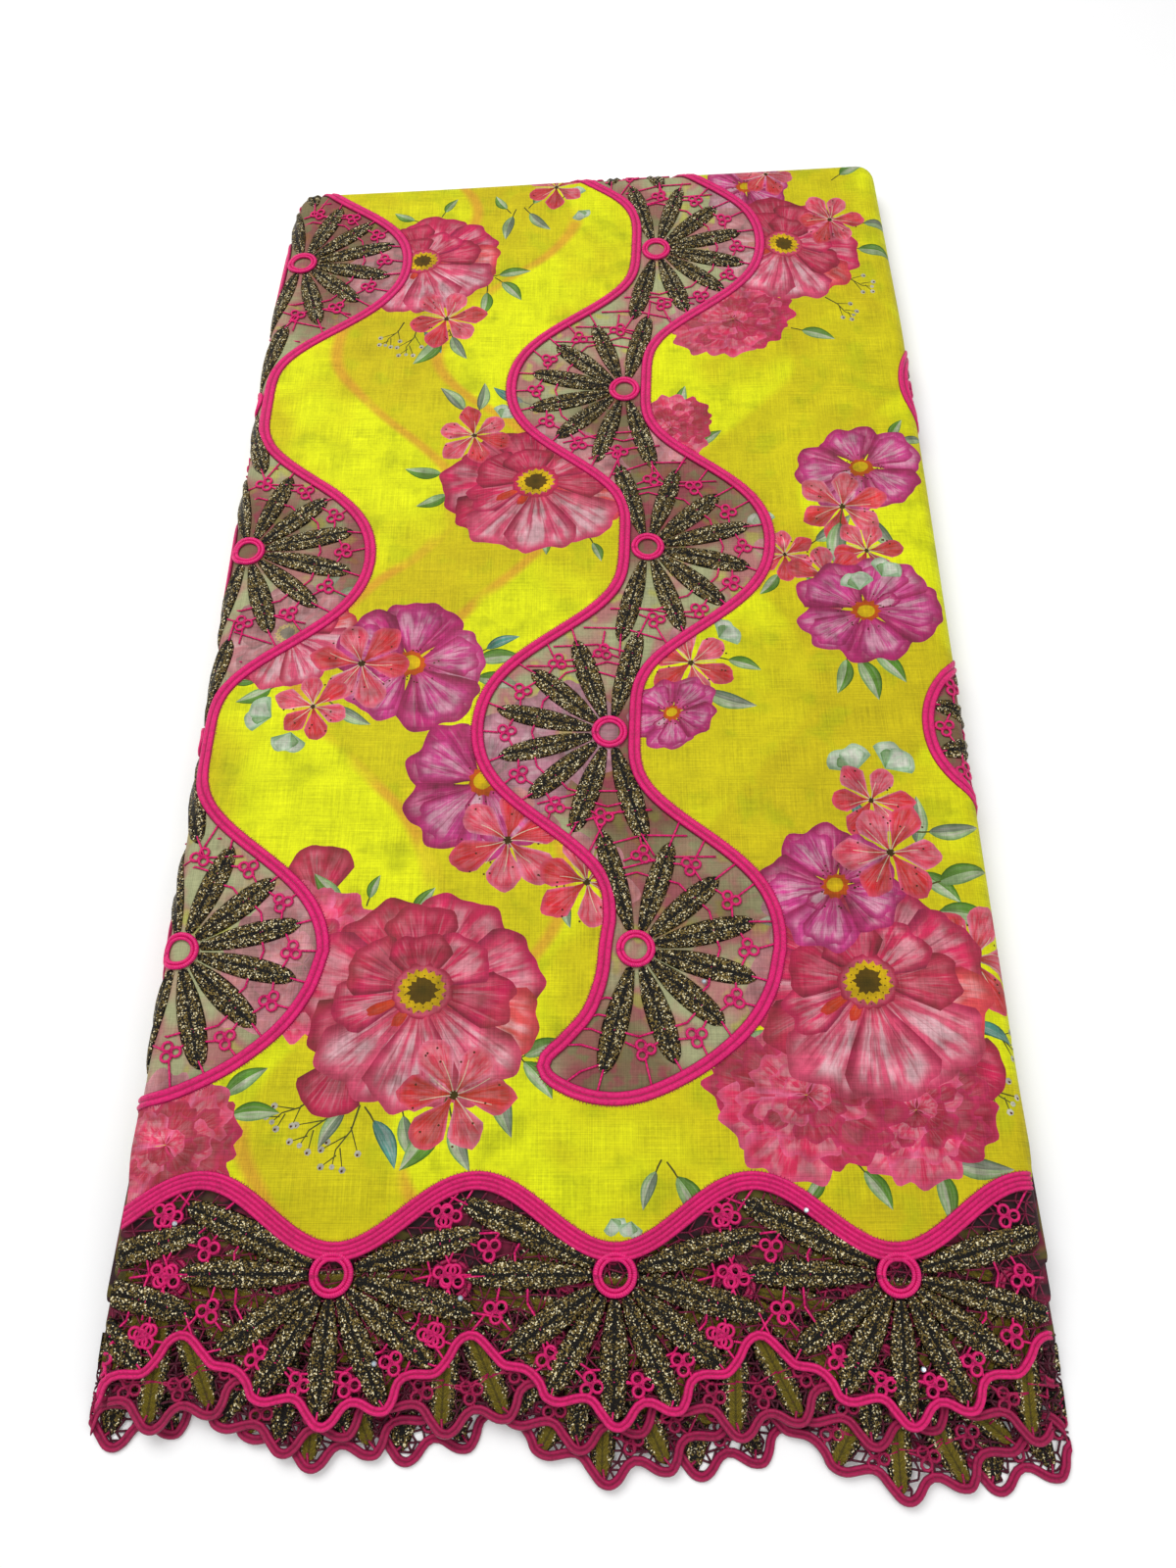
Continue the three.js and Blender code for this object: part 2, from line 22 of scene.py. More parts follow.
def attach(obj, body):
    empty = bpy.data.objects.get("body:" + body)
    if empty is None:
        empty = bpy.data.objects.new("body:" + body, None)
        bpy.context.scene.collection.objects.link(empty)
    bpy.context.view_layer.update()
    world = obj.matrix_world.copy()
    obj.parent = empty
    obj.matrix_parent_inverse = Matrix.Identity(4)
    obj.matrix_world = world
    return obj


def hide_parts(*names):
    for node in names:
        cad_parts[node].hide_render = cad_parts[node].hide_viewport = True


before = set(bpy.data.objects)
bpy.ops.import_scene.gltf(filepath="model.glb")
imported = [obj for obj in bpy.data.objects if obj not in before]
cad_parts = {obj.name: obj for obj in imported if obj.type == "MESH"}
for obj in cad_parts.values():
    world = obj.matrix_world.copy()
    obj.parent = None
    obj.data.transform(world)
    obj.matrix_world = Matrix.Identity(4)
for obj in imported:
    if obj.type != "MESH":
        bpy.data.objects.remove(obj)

LOG = logging.getLogger("folded_voile")
MM = 0.001
QUARTER = math.pi / 2
LEAST = 1e-9
Colour = tuple[float, float, float]
Points = np.ndarray
Piece = bpy.types.Object
Material = bpy.types.Material


def linear(colour: Sequence[float]) -> tuple[float, float, float, float]:
    """Turns a display colour of 0 to 255 into the renderer's linear one.

    Args:
        colour: Red, green and blue as a screen shows them.

    Returns:
        The linear red, green and blue, and an alpha of 1.
    """
    shares = [max(value, 0.0) / 255 for value in colour]
    red, green, blue = (s / 12.92 if s <= 0.04045 else ((s + 0.055) / 1.055) ** 2.4 for s in shares)
    return (red, green, blue, 1.0)


# The packet and how a ply lies over it


class Crease(NamedTuple):
    """One soft trough or ridge: its middle, direction, half length, half width and rise."""

    across: float
    along: float
    turn: float
    length: float
    width: float
    rise: float


# Places along the packet, and what is there: a side fold, the fall of the plies, the turned share
LEFT_FOLD = ((-60, -194), (100, -187), (520, -183.5), (660, -176.5))
RIGHT_FOLD = ((-60, 186), (100, 181.5), (520, 181.5), (660, 177.5))
FALL = ((-32, 12.6), (55, 0))
TURNED = ((55, 0.28), (72, 0.6), (92, 1))
CREASES = tuple(Crease(*row) for row in (
    (-60, 560, 12, 70, 9, 0.7), (60, 470, -8, 80, 12, -0.5), (120, 530, 35, 50, 8, 0.8),
    (-120, 440, 80, 60, 8, 0.6), (-40, 350, 4, 95, 14, 0.7), (110, 290, -14, 70, 10, -0.6),
    (95, 245, 20, 60, 9, 0.8), (-100, 225, -6, 80, 10, 0.9), (-20, 150, 75, 55, 9, -0.5),
    (30, 95, 3, 70, 9, 0.7), (150, 180, 84, 70, 7, 0.7), (-150, 130, 100, 60, 8, -0.5),
    (160, 380, 95, 85, 7, 0.6), (5, 620, -3, 120, 8, 0.5),
))


def eased(rows: Sequence[tuple[float, float]], at: Points, reach: float = 8.0) -> Points:
    """Reads a table at places along the packet, with its corners rounded.

    Args:
        rows: Places in order, each with its value.
        at: Places along the packet.
        reach: How far to each side of a place the table is averaged.

    Returns:
        The value at each place.
    """
    along, values = zip(*rows)
    steps = np.linspace(-reach, reach, 5)
    return np.mean([np.interp(np.asarray(at) + step, along, values) for step in steps], axis=0)


@dataclass(frozen=True)
class Packet:
    """The folded packet: sizes in millimetres that the solids are built from."""

    half_width: float = 182.0
    fold_line: float = 650.0
    seat: float = 21.0
    turn: float = 8.0
    curl: float = 1.6
    corner: float = 3.0
    skew: float = 0.08
    centre_across: float = -3.65
    centre_along: float = 303.2
    voile: float = 1.0
    ply_rise: float = 2.1
    flat_until: float = 50.0
    flat_fade: float = 45.0

    @property
    def side_start(self) -> float:
        """Where the turn over a side fold starts."""
        return self.half_width - self.turn - self.voile

    @property
    def far_start(self) -> float:
        """Where the turn over the far fold starts."""
        return self.fold_line - self.turn - self.voile

    @property
    def skirt(self) -> float:
        """How much cloth lies past the start of a turn, its tucked lip included."""
        return (self.turn + self.curl) * QUARTER

    @property
    def side_end(self) -> float:
        """Where the top ply ends at each side, flat."""
        return self.side_start + self.skirt

    @property
    def far_end(self) -> float:
        """Where the top ply ends at the far fold, flat."""
        return self.far_start + self.skirt

    def half_at(self, along: Points) -> Points:
        """Half the flat width of the top ply at places along it."""
        return self.side_start + self.skirt * eased(TURNED, along, 1.0)

    def plan(self, across: Points, along: Points) -> tuple[Points, Points]:
        """Moves points of the squared packet to where they lie on the real one.

        Args:
            across: Distances from the middle.
            along: Distances from the line of the arches.

        Returns:
            The x and y of each point, in millimetres.
        """
        left, right = eased(LEFT_FOLD, along), eased(RIGHT_FOLD, along)
        part = (across + self.half_width) / (2 * self.half_width)
        skew = self.skew * across * np.maximum(along / self.fold_line, 0) ** 4
        x = left + (right - left) * part - self.centre_across
        return x, along + skew - self.centre_along

    def crease(self, across: Points, along: Points) -> Points:
        """Height of the soft troughs and ridges, which fade out towards the scallops.

        Args:
            across: Distances from the middle.
            along: Distances from the line of the arches.

        Returns:
            The height at each point, in millimetres.
        """
        height = 0.16 * np.sin(across / 31 + along / 47) + 0.14 * np.sin(along / 23 - across / 57)
        for fold in CREASES:
            cos, sin = math.cos(math.radians(fold.turn)), math.sin(math.radians(fold.turn))
            dx, dy = across - fold.across, along - fold.along
            run, side = dx * cos + dy * sin, dy * cos - dx * sin
            bend = side + 5 * np.sin(run / 38 + fold.along)
            height = height + fold.rise * np.exp(-((bend / fold.width) ** 2) - (run / fold.length) ** 4)
        share = np.clip((along - self.flat_until) / self.flat_fade, 0, 1)
        return height * share * share * (3 - 2 * share)

    def place(self, across: Points, along: Points, lift: Points, ply: int = 0) -> Points:
        """Lays flat points over the packet: level on top, turned over the folds.

        Args:
            across: Distances from the middle.
            along: Distances from the line of the arches.
            lift: Heights above the ply's underside.
            ply: 0 for the top ply, and more for the plies of the selvedge under it.

        Returns:
            An array of x, y and z in metres.
        """
        across, along, lift = np.broadcast_arrays(across, along, lift)
        seat = self.seat - eased(FALL, along, 5.0) - ply * self.ply_rise
        if ply > 0:
            x, y = self.plan(across, along)
            return np.stack([x, y, seat + lift], axis=-1) * MM
        seat = seat + self.crease(across, along)
        over = np.abs(across) - self.side_start + self.corner
        beyond = along - self.far_start + self.corner
        sign = np.where(across < 0, -1.0, 1.0)
        reach = np.maximum(np.hypot(over, beyond), LEAST)
        round_corner = (over > 0) & (beyond > 0)
        sideways = over > beyond
        past = np.where(round_corner, reach, np.maximum(over, beyond)) - self.corner
        past = np.maximum(past, 0.0)
        out_x = np.where(round_corner, sign * over / reach, np.where(sideways, sign, 0.0))
        out_y = np.where(round_corner, beyond / reach, np.where(sideways, 0.0, 1.0))
        angle = np.clip(past / self.turn, 0, QUARTER)
        tuck = np.clip((past - self.turn * QUARTER) / self.curl, 0, QUARTER)
        turned = (self.turn + lift) * np.sin(angle)
        tucked = self.turn - self.curl + (self.curl + lift) * np.cos(tuck)
        shift = np.where(tuck > 0, tucked, turned) - past
        height = seat - self.turn + (self.turn + lift) * np.cos(angle)
        height = height - (self.curl + lift) * np.sin(tuck)
        x, y = self.plan(across + out_x * shift, along + out_y * shift)
        return np.stack([x, y, height], axis=-1) * MM


# Materials


class Field:
    """A socket whose value can stand in a Python expression."""

    def __init__(self, tree: "NodePlan", socket: bpy.types.NodeSocket) -> None:
        """Keeps the tree and the socket.

        Args:
            tree: The node plan that the socket is in.
            socket: The output socket.
        """
        self.tree = tree
        self.socket = socket

    def _math(self, operation: str, *values: "Field | float") -> "Field":
        """Adds a Math node.

        Args:
            operation: The node's operation.
            values: Its inputs, in order.

        Returns:
            The node's result.
        """
        node = self.tree.node("ShaderNodeMath", {"operation": operation}, dict(enumerate(values)))
        return Field(self.tree, node.outputs[0])

    def __add__(self, other: "Field | float") -> "Field":
        """The sum."""
        return self._math("ADD", self, other)

    def __radd__(self, other: float) -> "Field":
        """The sum."""
        return self._math("ADD", other, self)

    def __sub__(self, other: "Field | float") -> "Field":
        """The difference."""
        return self._math("SUBTRACT", self, other)

    def __rsub__(self, other: float) -> "Field":
        """The difference, from a number."""
        return self._math("SUBTRACT", other, self)

    def __mul__(self, other: "Field | float") -> "Field":
        """The product."""
        return self._math("MULTIPLY", self, other)

    def __rmul__(self, other: float) -> "Field":
        """The product."""
        return self._math("MULTIPLY", other, self)

    def __abs__(self) -> "Field":
        """The size without its sign."""
        return self._math("ABSOLUTE", self)

    def wave(self) -> "Field":
        """The sine."""
        return self._math("SINE", self)

    def highest(self, other: "Field | float") -> "Field":
        """The larger of two values."""
        return self._math("MAXIMUM", self, other)

    def fade(self, low: float, high: float) -> "Field":
        """A soft step from 0 to 1.

        Args:
            low: Where it leaves 0.
            high: Where it reaches 1.

        Returns:
            The stepped value.
        """
        values = {"Value": self, "From Min": low, "From Max": high, "To Min": 0.0, "To Max": 1.0}
        node = self.tree.node("ShaderNodeMapRange", {"interpolation_type": "SMOOTHSTEP"}, values)
        return Field(self.tree, node.outputs["Result"])


class NodePlan:
    """The nodes of one material."""

    def __init__(self, name: str) -> None:
        """Starts an empty material.

        Args:
            name: The material's name.
        """
        self.material = bpy.data.materials.new(name)
        self.material.use_nodes = True
        self.tree = self.material.node_tree
        self.tree.nodes.clear()

    def node(
        self, kind: str, settings: dict[str, object] | None = None, inputs: dict[object, object] | None = None
    ) -> bpy.types.Node:
        """Adds a node of any type.

        Args:
            kind: The node's type.
            settings: Its settings, which are set first.
            inputs: Values or links of its sockets, by name or place.

        Returns:
            The node.
        """
        node = self.tree.nodes.new(kind)
        for name, value in (settings or {}).items():
            setattr(node, name, value)
        for key, value in (inputs or {}).items():
            source = value.socket if isinstance(value, Field) else value
            if isinstance(source, bpy.types.NodeSocket):
                self.tree.links.new(source, node.inputs[key])
            else:
                node.inputs[key].default_value = source
        return node

    def position(self) -> Field:
        """The place on the object, in metres."""
        return Field(self, self.node("ShaderNodeTexCoord").outputs["Object"])

    def parts(self, vector: Field) -> tuple[Field, Field, Field]:
        """The three parts of a vector."""
        node = self.node("ShaderNodeSeparateXYZ", None, {0: vector})
        return tuple(Field(self, node.outputs[k]) for k in range(3))

    def vector(self, x: "Field | float", y: "Field | float", z: "Field | float") -> Field:
        """A vector of three values."""
        return Field(self, self.node("ShaderNodeCombineXYZ", None, {0: x, 1: y, 2: z}).outputs[0])

    def attribute(self, name: str) -> tuple[Field, Field]:
        """The colour and the alpha of a mesh attribute."""
        node = self.node("ShaderNodeAttribute", {"attribute_name": name})
        return Field(self, node.outputs["Color"]), Field(self, node.outputs["Alpha"])

    def uv(self) -> tuple[Field, Field, Field]:
        """The parts of the piece's UV map."""
        return self.parts(Field(self, self.node("ShaderNodeUVMap", {"uv_map": "plan"}).outputs["UV"]))

    def noise(self, vector: Field, scale: float, detail: float = 2.0) -> Field:
        """Soft noise.

        Args:
            vector: Where it is read.
            scale: How fine it is.
            detail: How many finer layers it has.

        Returns:
            The noise, about 0.5.
        """
        inputs = {"Vector": vector, "Scale": scale, "Detail": detail}
        return Field(self, self.node("ShaderNodeTexNoise", None, inputs).outputs[0])

    def blend(self, share: "Field | float", first: object, second: object, mode: str = "MIX") -> Field:
        """Mixes two colours.

        Args:
            share: How much of the second colour.
            first: A colour field, or a display colour of 0 to 255.
            second: The same.
            mode: The way of mixing.

        Returns:
            The mixed colour.
        """
        pair = [c if isinstance(c, Field) else linear(c) for c in (first, second)]
        settings = {"data_type": "RGBA", "blend_type": mode}
        node = self.node("ShaderNodeMix", settings, {0: share, 6: pair[0], 7: pair[1]})
        return Field(self, node.outputs[2])

    def shade(self, colour: Field, light: Field) -> Field:
        """A colour times a brightness."""
        inputs = {0: colour, "Scale": light}
        node = self.node("ShaderNodeVectorMath", {"operation": "SCALE"}, inputs)
        return Field(self, node.outputs[0])

    def finish(self, base: Field, bump: Field | None, relief: float, **values: object) -> Material:
        """Ends the material in a Principled shader.

        Args:
            base: Its base colour.
            bump: Its height pattern, if it has one.
            relief: The height of the pattern, in metres.
            values: Other sockets, with _ for a space.

        Returns:
            The material.
        """
        inputs: dict[object, object] = {"Base Color": base}
        inputs.update({name.replace("_", " "): value for name, value in values.items()})
        if bump is not None:
            heights = {"Height": bump, "Distance": relief, "Strength": 1.0}
            inputs["Normal"] = Field(self, self.node("ShaderNodeBump", None, heights).outputs[0])
        shader = self.node("ShaderNodeBsdfPrincipled", None, inputs)
        output = self.node("ShaderNodeOutputMaterial")
        self.tree.links.new(shader.outputs[0], output.inputs[0])
        return self.material


@dataclass(frozen=True)
class VoileFinish:
    """Printed plain-weave voile: lemon ground, plies that show through, and the inks."""

    lemon: Colour = (212, 217, 10)
    mustard: Colour = (188, 170, 14)
    olive: Colour = (168, 174, 10)
    amber: Colour = (204, 146, 40)
    pale: Colour = (255, 226, 234)
    yarn: float = 0.42 * MM
    ghost_reach: float = 36 * MM
    ghost_repeat: float = 214 * MM
    washed: float = 0.0
    cover: float = 0.96
    contrast: float = 1.25

    def weave(self, plan: NodePlan, place: Field) -> Field:
        """The uneven yarns of the plain weave, about 0.5.

        Args:
            plan: The material's nodes.
            place: The place on the object.

        Returns:
            The pattern.
        """
        x, y, _ = plan.parts(place)
        pitch = 1 / self.yarn
        warp = plan.noise(plan.vector(x * pitch, y * 46, 0.0), 1.0, 1.0)
        weft = plan.noise(plan.vector(x * 46, y * pitch, 4.0), 1.0, 1.0)
        return (warp + weft) * 0.5

    def ghosts(self, plan: NodePlan, place: Field) -> tuple[Field, Field]:
        """Where lace and plies below darken the ground, and the soft lines round them.

        Args:
            plan: The material's nodes.
            place: The place on the object.

        Returns:
            Both masks.
        """
        x, y, _ = plan.parts(place)
        drift = plan.noise(place, 14.0, 1.0) - 0.5
        swing = (y * (2 * math.pi / self.ghost_repeat) + 1.9).wave() * self.ghost_reach
        first = abs(x + drift * 0.02 + 0.072 + swing)
        second = abs(x + drift * 0.03 - 0.118 - swing)
        shadow = (1 - first.fade(0.026, 0.033)).highest(1 - second.fade(0.028, 0.036))
        return shadow, 1 - abs(first - 0.031).fade(0.001, 0.006)

    def ground(self, plan: NodePlan, place: Field) -> Field:
        """The unprinted ground, which on the faded ply carries patches of painted shade.

        Args:
            plan: The material's nodes.
            place: The place on the object.

        Returns:
            Its colour.
        """
        if self.washed > 0:
            patches = plan.noise(place, 45.0, 2.0).fade(0.42, 0.6)
            base = plan.blend(patches, (156, 158, 118), (168, 112, 108))
            base = plan.blend(plan.noise(place, 90.0, 1.0).fade(0.55, 0.7), base, (170, 168, 88))
            # Painted shade: dark brown and crimson patches over the faded ply under the lace
            shaded = plan.noise(place, 9.0, 1.0).fade(0.5, 0.62) * 0.75
            painted_shade_tone = plan.blend(plan.noise(place, 120.0, 2.0).fade(0.45, 0.55), (92, 72, 44), (120, 28, 52))
            return plan.blend(shaded, base, painted_shade_tone)
        shadow, line = self.ghosts(plan, place)
        broad = plan.noise(place, 11.0, 3.0)
        base = plan.blend(broad.fade(0.44, 0.6) * 0.75, self.lemon, self.mustard)
        base = plan.blend(shadow * 0.7, base, self.mustard)
        base = plan.blend(plan.noise(place, 55.0, 3.0).fade(0.52, 0.7) * 0.6, base, self.olive)
        return plan.blend(line * plan.noise(place, 22.0, 1.0).fade(0.36, 0.5) * 0.8, base, self.amber)

    def inks(self, plan: NodePlan) -> tuple[Field, Field]:
        """The watercolour inks from the print's own map, and where they are.

        Args:
            plan: The material's nodes.

        Returns:
            The colour and its mask.
        """
        u, v, _ = plan.uv()
        side = abs(v)
        heart, printed = plan.attribute("heart")
        body, wash = plan.attribute("body")
        rim, vein = plan.attribute("rim")
        seed, _ = plan.attribute("seed")
        key, _, _ = plan.parts(seed)
        base = plan.blend(u.fade(0.04, 0.62), heart, body)
        flow = plan.noise(plan.vector(u * 1.6 + key * 9, v * 2.3, key * 31), 1.5, 3.0)
        open_part = u.fade(0.12, 0.5) * (1 - u.fade(0.84, 0.99)) * (1 - side.fade(0.5, 0.95))
        base = plan.blend(flow.fade(0.4, 0.62) * open_part * wash * 0.66, base, self.pale)
        fine = plan.noise(plan.vector(u * 1.1, v * 8, key * 17), 1.4, 3.0)
        base = plan.blend(fine.fade(0.5, 0.7) * (1 - u.fade(0.75, 1.0)) * vein * 0.8, base, rim)
        light = plan.noise(plan.vector(u * 0.9, v * 9, key * 23 + 5), 1.4, 1.0)
        base = plan.blend(light.fade(0.52, 0.75) * open_part * vein * 0.3, base, self.pale)
        edge = (u.fade(0.86, 1.0) * 0.6).highest(side.fade(0.66, 1.0)) * (0.4 + flow)
        return plan.blend(edge, base, rim), printed

    def material(self, name: str) -> Material:
        """Makes the material.

        Args:
            name: The material's name.

        Returns:
            The material.
        """
        plan = NodePlan(name)
        place = plan.position()
        weave = self.weave(plan, place)
        ink, printed = self.inks(plan)
        if self.washed > 0:
            ink = plan.blend(self.washed, ink, (206, 196, 180))
        ink = plan.shade(ink, plan.noise(place, 110.0, 3.0) * 1.0 + 0.08)
        base = plan.blend(printed * self.cover, self.ground(plan, place), ink)
        grain = plan.noise(place, 700.0, 2.0) * 0.36
        wash = plan.noise(place, 75.0, 3.0) * 0.5
        base = plan.shade(base, weave * self.contrast + grain + wash + (0.6 - self.contrast * 0.5))
        return plan.finish(base, weave, 0.16 * MM, Roughness=0.72, Sheen_Weight=0.03, Specular_IOR_Level=0.18)


@dataclass(frozen=True)
class SatinFinish:
    """Satin-stitched cord: fine threads laid across it, with painted shade low on the cord, in its grooves
    and between its threads.
    """

    colour: Colour = (238, 8, 118)
    # shade is both the uneven darker tone of the thread and the colour of the painted shade
    shade: Colour = (136, 0, 58)
    thread: float = 0.36

    def material(self, name: str) -> Material:
        """Makes the material.

        Args:
            name: The material's name.

        Returns:
            The material.
        """
        plan = NodePlan(name)
        run, ridge, _ = plan.uv()
        place = plan.position()
        stitch = ((run + ridge * 0.5) * (2 * math.pi / self.thread)).wave() * 0.5 + 0.5
        uneven = plan.noise(place, 900.0, 2.0)
        broad = plan.noise(place, 120.0, 2.0).fade(0.35, 0.7)
        base = plan.blend(uneven.fade(0.45, 0.7) * 0.35 + broad * 0.15, self.colour, self.shade)
        # Painted shade: darker low on the cord and in the grooves between its ridges
        base = plan.blend((1 - ridge.fade(0.45, 0.9)) * 0.75, base, self.shade)
        # Painted shade between the threads, darker in each stitch's valley
        base = plan.shade(base, stitch * 0.3 + 0.8)
        height = stitch * 0.6 + uneven * 0.8
        return plan.finish(base, height, 0.12 * MM, Roughness=0.45, Sheen_Weight=0.05, Specular_IOR_Level=0.4)


@dataclass(frozen=True)
class YarnFinish:
    """Petals stitched in black and gold metallic yarn, with painted glints and painted shade in the groove,
    or their smooth olive back.
    """

    dark: Colour = (17, 12, 7)
    gold: Colour = (126, 106, 54)
    glint_colour: Colour = (244, 232, 190)
    back: Colour = (124, 108, 14)
    fleck: float = 0.5 * MM
    reverse: bool = False

    def material(self, name: str) -> Material:
        """Makes the material.

        Args:
            name: The material's name.

        Returns:
            The material.
        """
        plan = NodePlan(name)
        place = plan.position()
        cells = plan.node("ShaderNodeTexVoronoi", None, {"Vector": place, "Scale": 1 / self.fleck})
        chance, other, _ = plan.parts(Field(plan, cells.outputs["Color"]))
        part, side, _ = plan.uv()
        groove = 1 - abs(side).fade(0.04, 0.2)
        brim = abs(side).fade(0.7, 1.0)
        patches = plan.noise(place, 260.0, 1.0) * 0.5
        golden = (chance + patches - groove * 0.3 - brim * 0.12).fade(0.82, 0.92)
        # Painted glints: near-white flecks on the gold
        painted_glint = other.fade(0.74, 0.8) * golden
        base = plan.blend(golden, self.dark, self.gold)
        base = plan.blend(painted_glint, base, self.glint_colour)
        # Painted shade: darker along the groove between the two lobes
        base = plan.shade(base, 1 - groove * 0.45)
        metal = golden * 0.4
        if self.reverse:
            middle = 1 - (abs(side) + (chance - 0.5) * 0.16).fade(0.36, 0.46)
            hatch = plan.noise(plan.vector(part * 60 + abs(side) * 9, abs(side) * 2, 0.0), 2.0, 1.0)
            smooth = plan.blend(hatch.fade(0.35, 0.65) * 0.7 + patches * 0.3, self.back, (50, 42, 6))
            # Painted shade along the middle groove of the olive back
            smooth = plan.shade(smooth, 1 - (1 - abs(side).fade(0.03, 0.12)) * 0.5)
            base = plan.blend(middle, base, smooth)
            metal = metal * (1 - middle)
        height = chance * 0.6 + Field(plan, cells.outputs["Distance"]) * 0.7
        return plan.finish(base, height, 0.3 * MM, Metallic=metal, Roughness=0.5, Specular_IOR_Level=0.2)


@dataclass(frozen=True)
class StackFinish:
    """The folded edges of the hidden plies, with print and lace ends between them, a near-black bed of
    painted shade under the lace, and painted shade between the plies.
    """

    lemon: Colour = (206, 208, 16)
    mustard: Colour = (166, 152, 12)
    pink: Colour = (206, 40, 112)
    yarn: Colour = (44, 34, 12)
    # bed is painted shade: the near-black under the lace ends at the near edge
    bed: Colour = (48, 4, 18)
    crimson: Colour = (120, 2, 50)
    dull: Colour = (96, 84, 20)
    pitch: float = 0.84 * MM
    bed_line: float = -0.232

    def material(self, name: str) -> Material:
        """Makes the material.

        Args:
            name: The material's name.

        Returns:
            The material.
        """
        plan = NodePlan(name)
        place = plan.position()
        x, y, z = plan.parts(place)
        layer = plan.noise(plan.vector(x * 9, y * 9, z * 420), 1.0, 1.0)
        base = plan.blend(layer.fade(0.4, 0.62), self.lemon, self.mustard)
        bloom = plan.noise(plan.vector(x * 22, y * 22, z * 300), 1.0, 2.0)
        base = plan.blend(bloom.fade(0.6, 0.68) * 0.8, base, self.pink)
        lace = plan.noise(plan.vector(x * 15 + 3, y * 15, z * 340), 1.0, 0.0)
        base = plan.blend(lace.fade(0.66, 0.7), base, self.yarn)
        # Below the bed line, crimson lace strands and olive patches lie over the near-black bed of painted
        # shade
        strands = plan.noise(plan.vector(x * 60, y * 60, z * 500), 1.0, 2.0)
        bed = plan.blend(strands.fade(0.5, 0.6), self.bed, self.crimson)
        worn = plan.noise(plan.vector(x * 30, y * 30, z * 380), 1.0, 1.0)
        bed = plan.blend(worn.fade(0.54, 0.6), bed, self.dull)
        base = plan.blend(1 - (y + lace * 0.03).fade(self.bed_line, self.bed_line + 0.012), base, bed)
        # Painted shade: darker between the folded ply edges, the same stripes serving as bump
        edge = (z * (2 * math.pi / self.pitch)).wave() * 0.5 + 0.5
        grain = plan.noise(place, 1800.0, 2.0)
        base = plan.shade(base, edge * 0.3 + grain * 0.4 + 0.5)
        return plan.finish(base, edge * 0.7 + grain * 0.3, 0.25 * MM, Roughness=0.8, Sheen_Weight=0.1)


@dataclass(frozen=True)
class CrystalFinish:
    """Small faceted crystals with a pale painted flash of reflected colour."""

    colour: Colour = (236, 246, 252)

    def material(self, name: str) -> Material:
        """Makes the material.

        Args:
            name: The material's name.

        Returns:
            The material.
        """
        plan = NodePlan(name)
        # Painted reflection: pale blue patches over the crystal's colour
        painted_flash = plan.noise(plan.position(), 1600.0, 0.0).fade(0.45, 0.6)
        base = plan.blend(painted_flash, self.colour, (196, 226, 246))
        return plan.finish(base, None, 0.0, Metallic=0.6, Roughness=0.08, Coat_Weight=1.0)


@dataclass(frozen=True)
class FloorFinish:
    """A plain pale studio floor."""

    colour: Colour = (246, 246, 246)

    def material(self, name: str) -> Material:
        """Makes the material.

        Args:
            name: The material's name.

        Returns:
            The material.
        """
        plan = NodePlan(name)
        grain = plan.noise(plan.position(), 40.0, 2.0)
        base = plan.blend(grain * 0.1, self.colour, (236, 236, 238))
        return plan.finish(
            base, None, 0.0, Roughness=0.9, Emission_Color=linear(self.colour), Emission_Strength=0.12
        )


# Making meshes


@dataclass
class Template:
    """A small shape modelled once: its points, faces and the plan of each point."""

    points: Points
    faces: list[tuple[int, ...]]
    plan: Points


def choose(piece: Piece) -> None:
    """Selects a piece alone and makes it the active one."""
    bpy.ops.object.select_all(action="DESELECT")
    piece.select_set(True)
    bpy.context.view_layer.objects.active = piece


def link(name: str, data: bpy.types.ID) -> Piece:
    """Puts a new object with its data into the scene."""
    made = bpy.data.objects.new(name, data)
    bpy.context.scene.collection.objects.link(made)
    return made


def smooth(piece: Piece, soft: bool = True) -> None:
    """Smooths a piece's faces, or leaves them flat."""
    faces = piece.data.polygons
    faces.foreach_set("use_smooth", np.full(len(faces), soft))


def places(piece: Piece) -> Points:
    """Reads the points of a piece."""
    points = np.empty(len(piece.data.vertices) * 3)
    piece.data.vertices.foreach_get("co", points)
    return points.reshape(-1, 3)


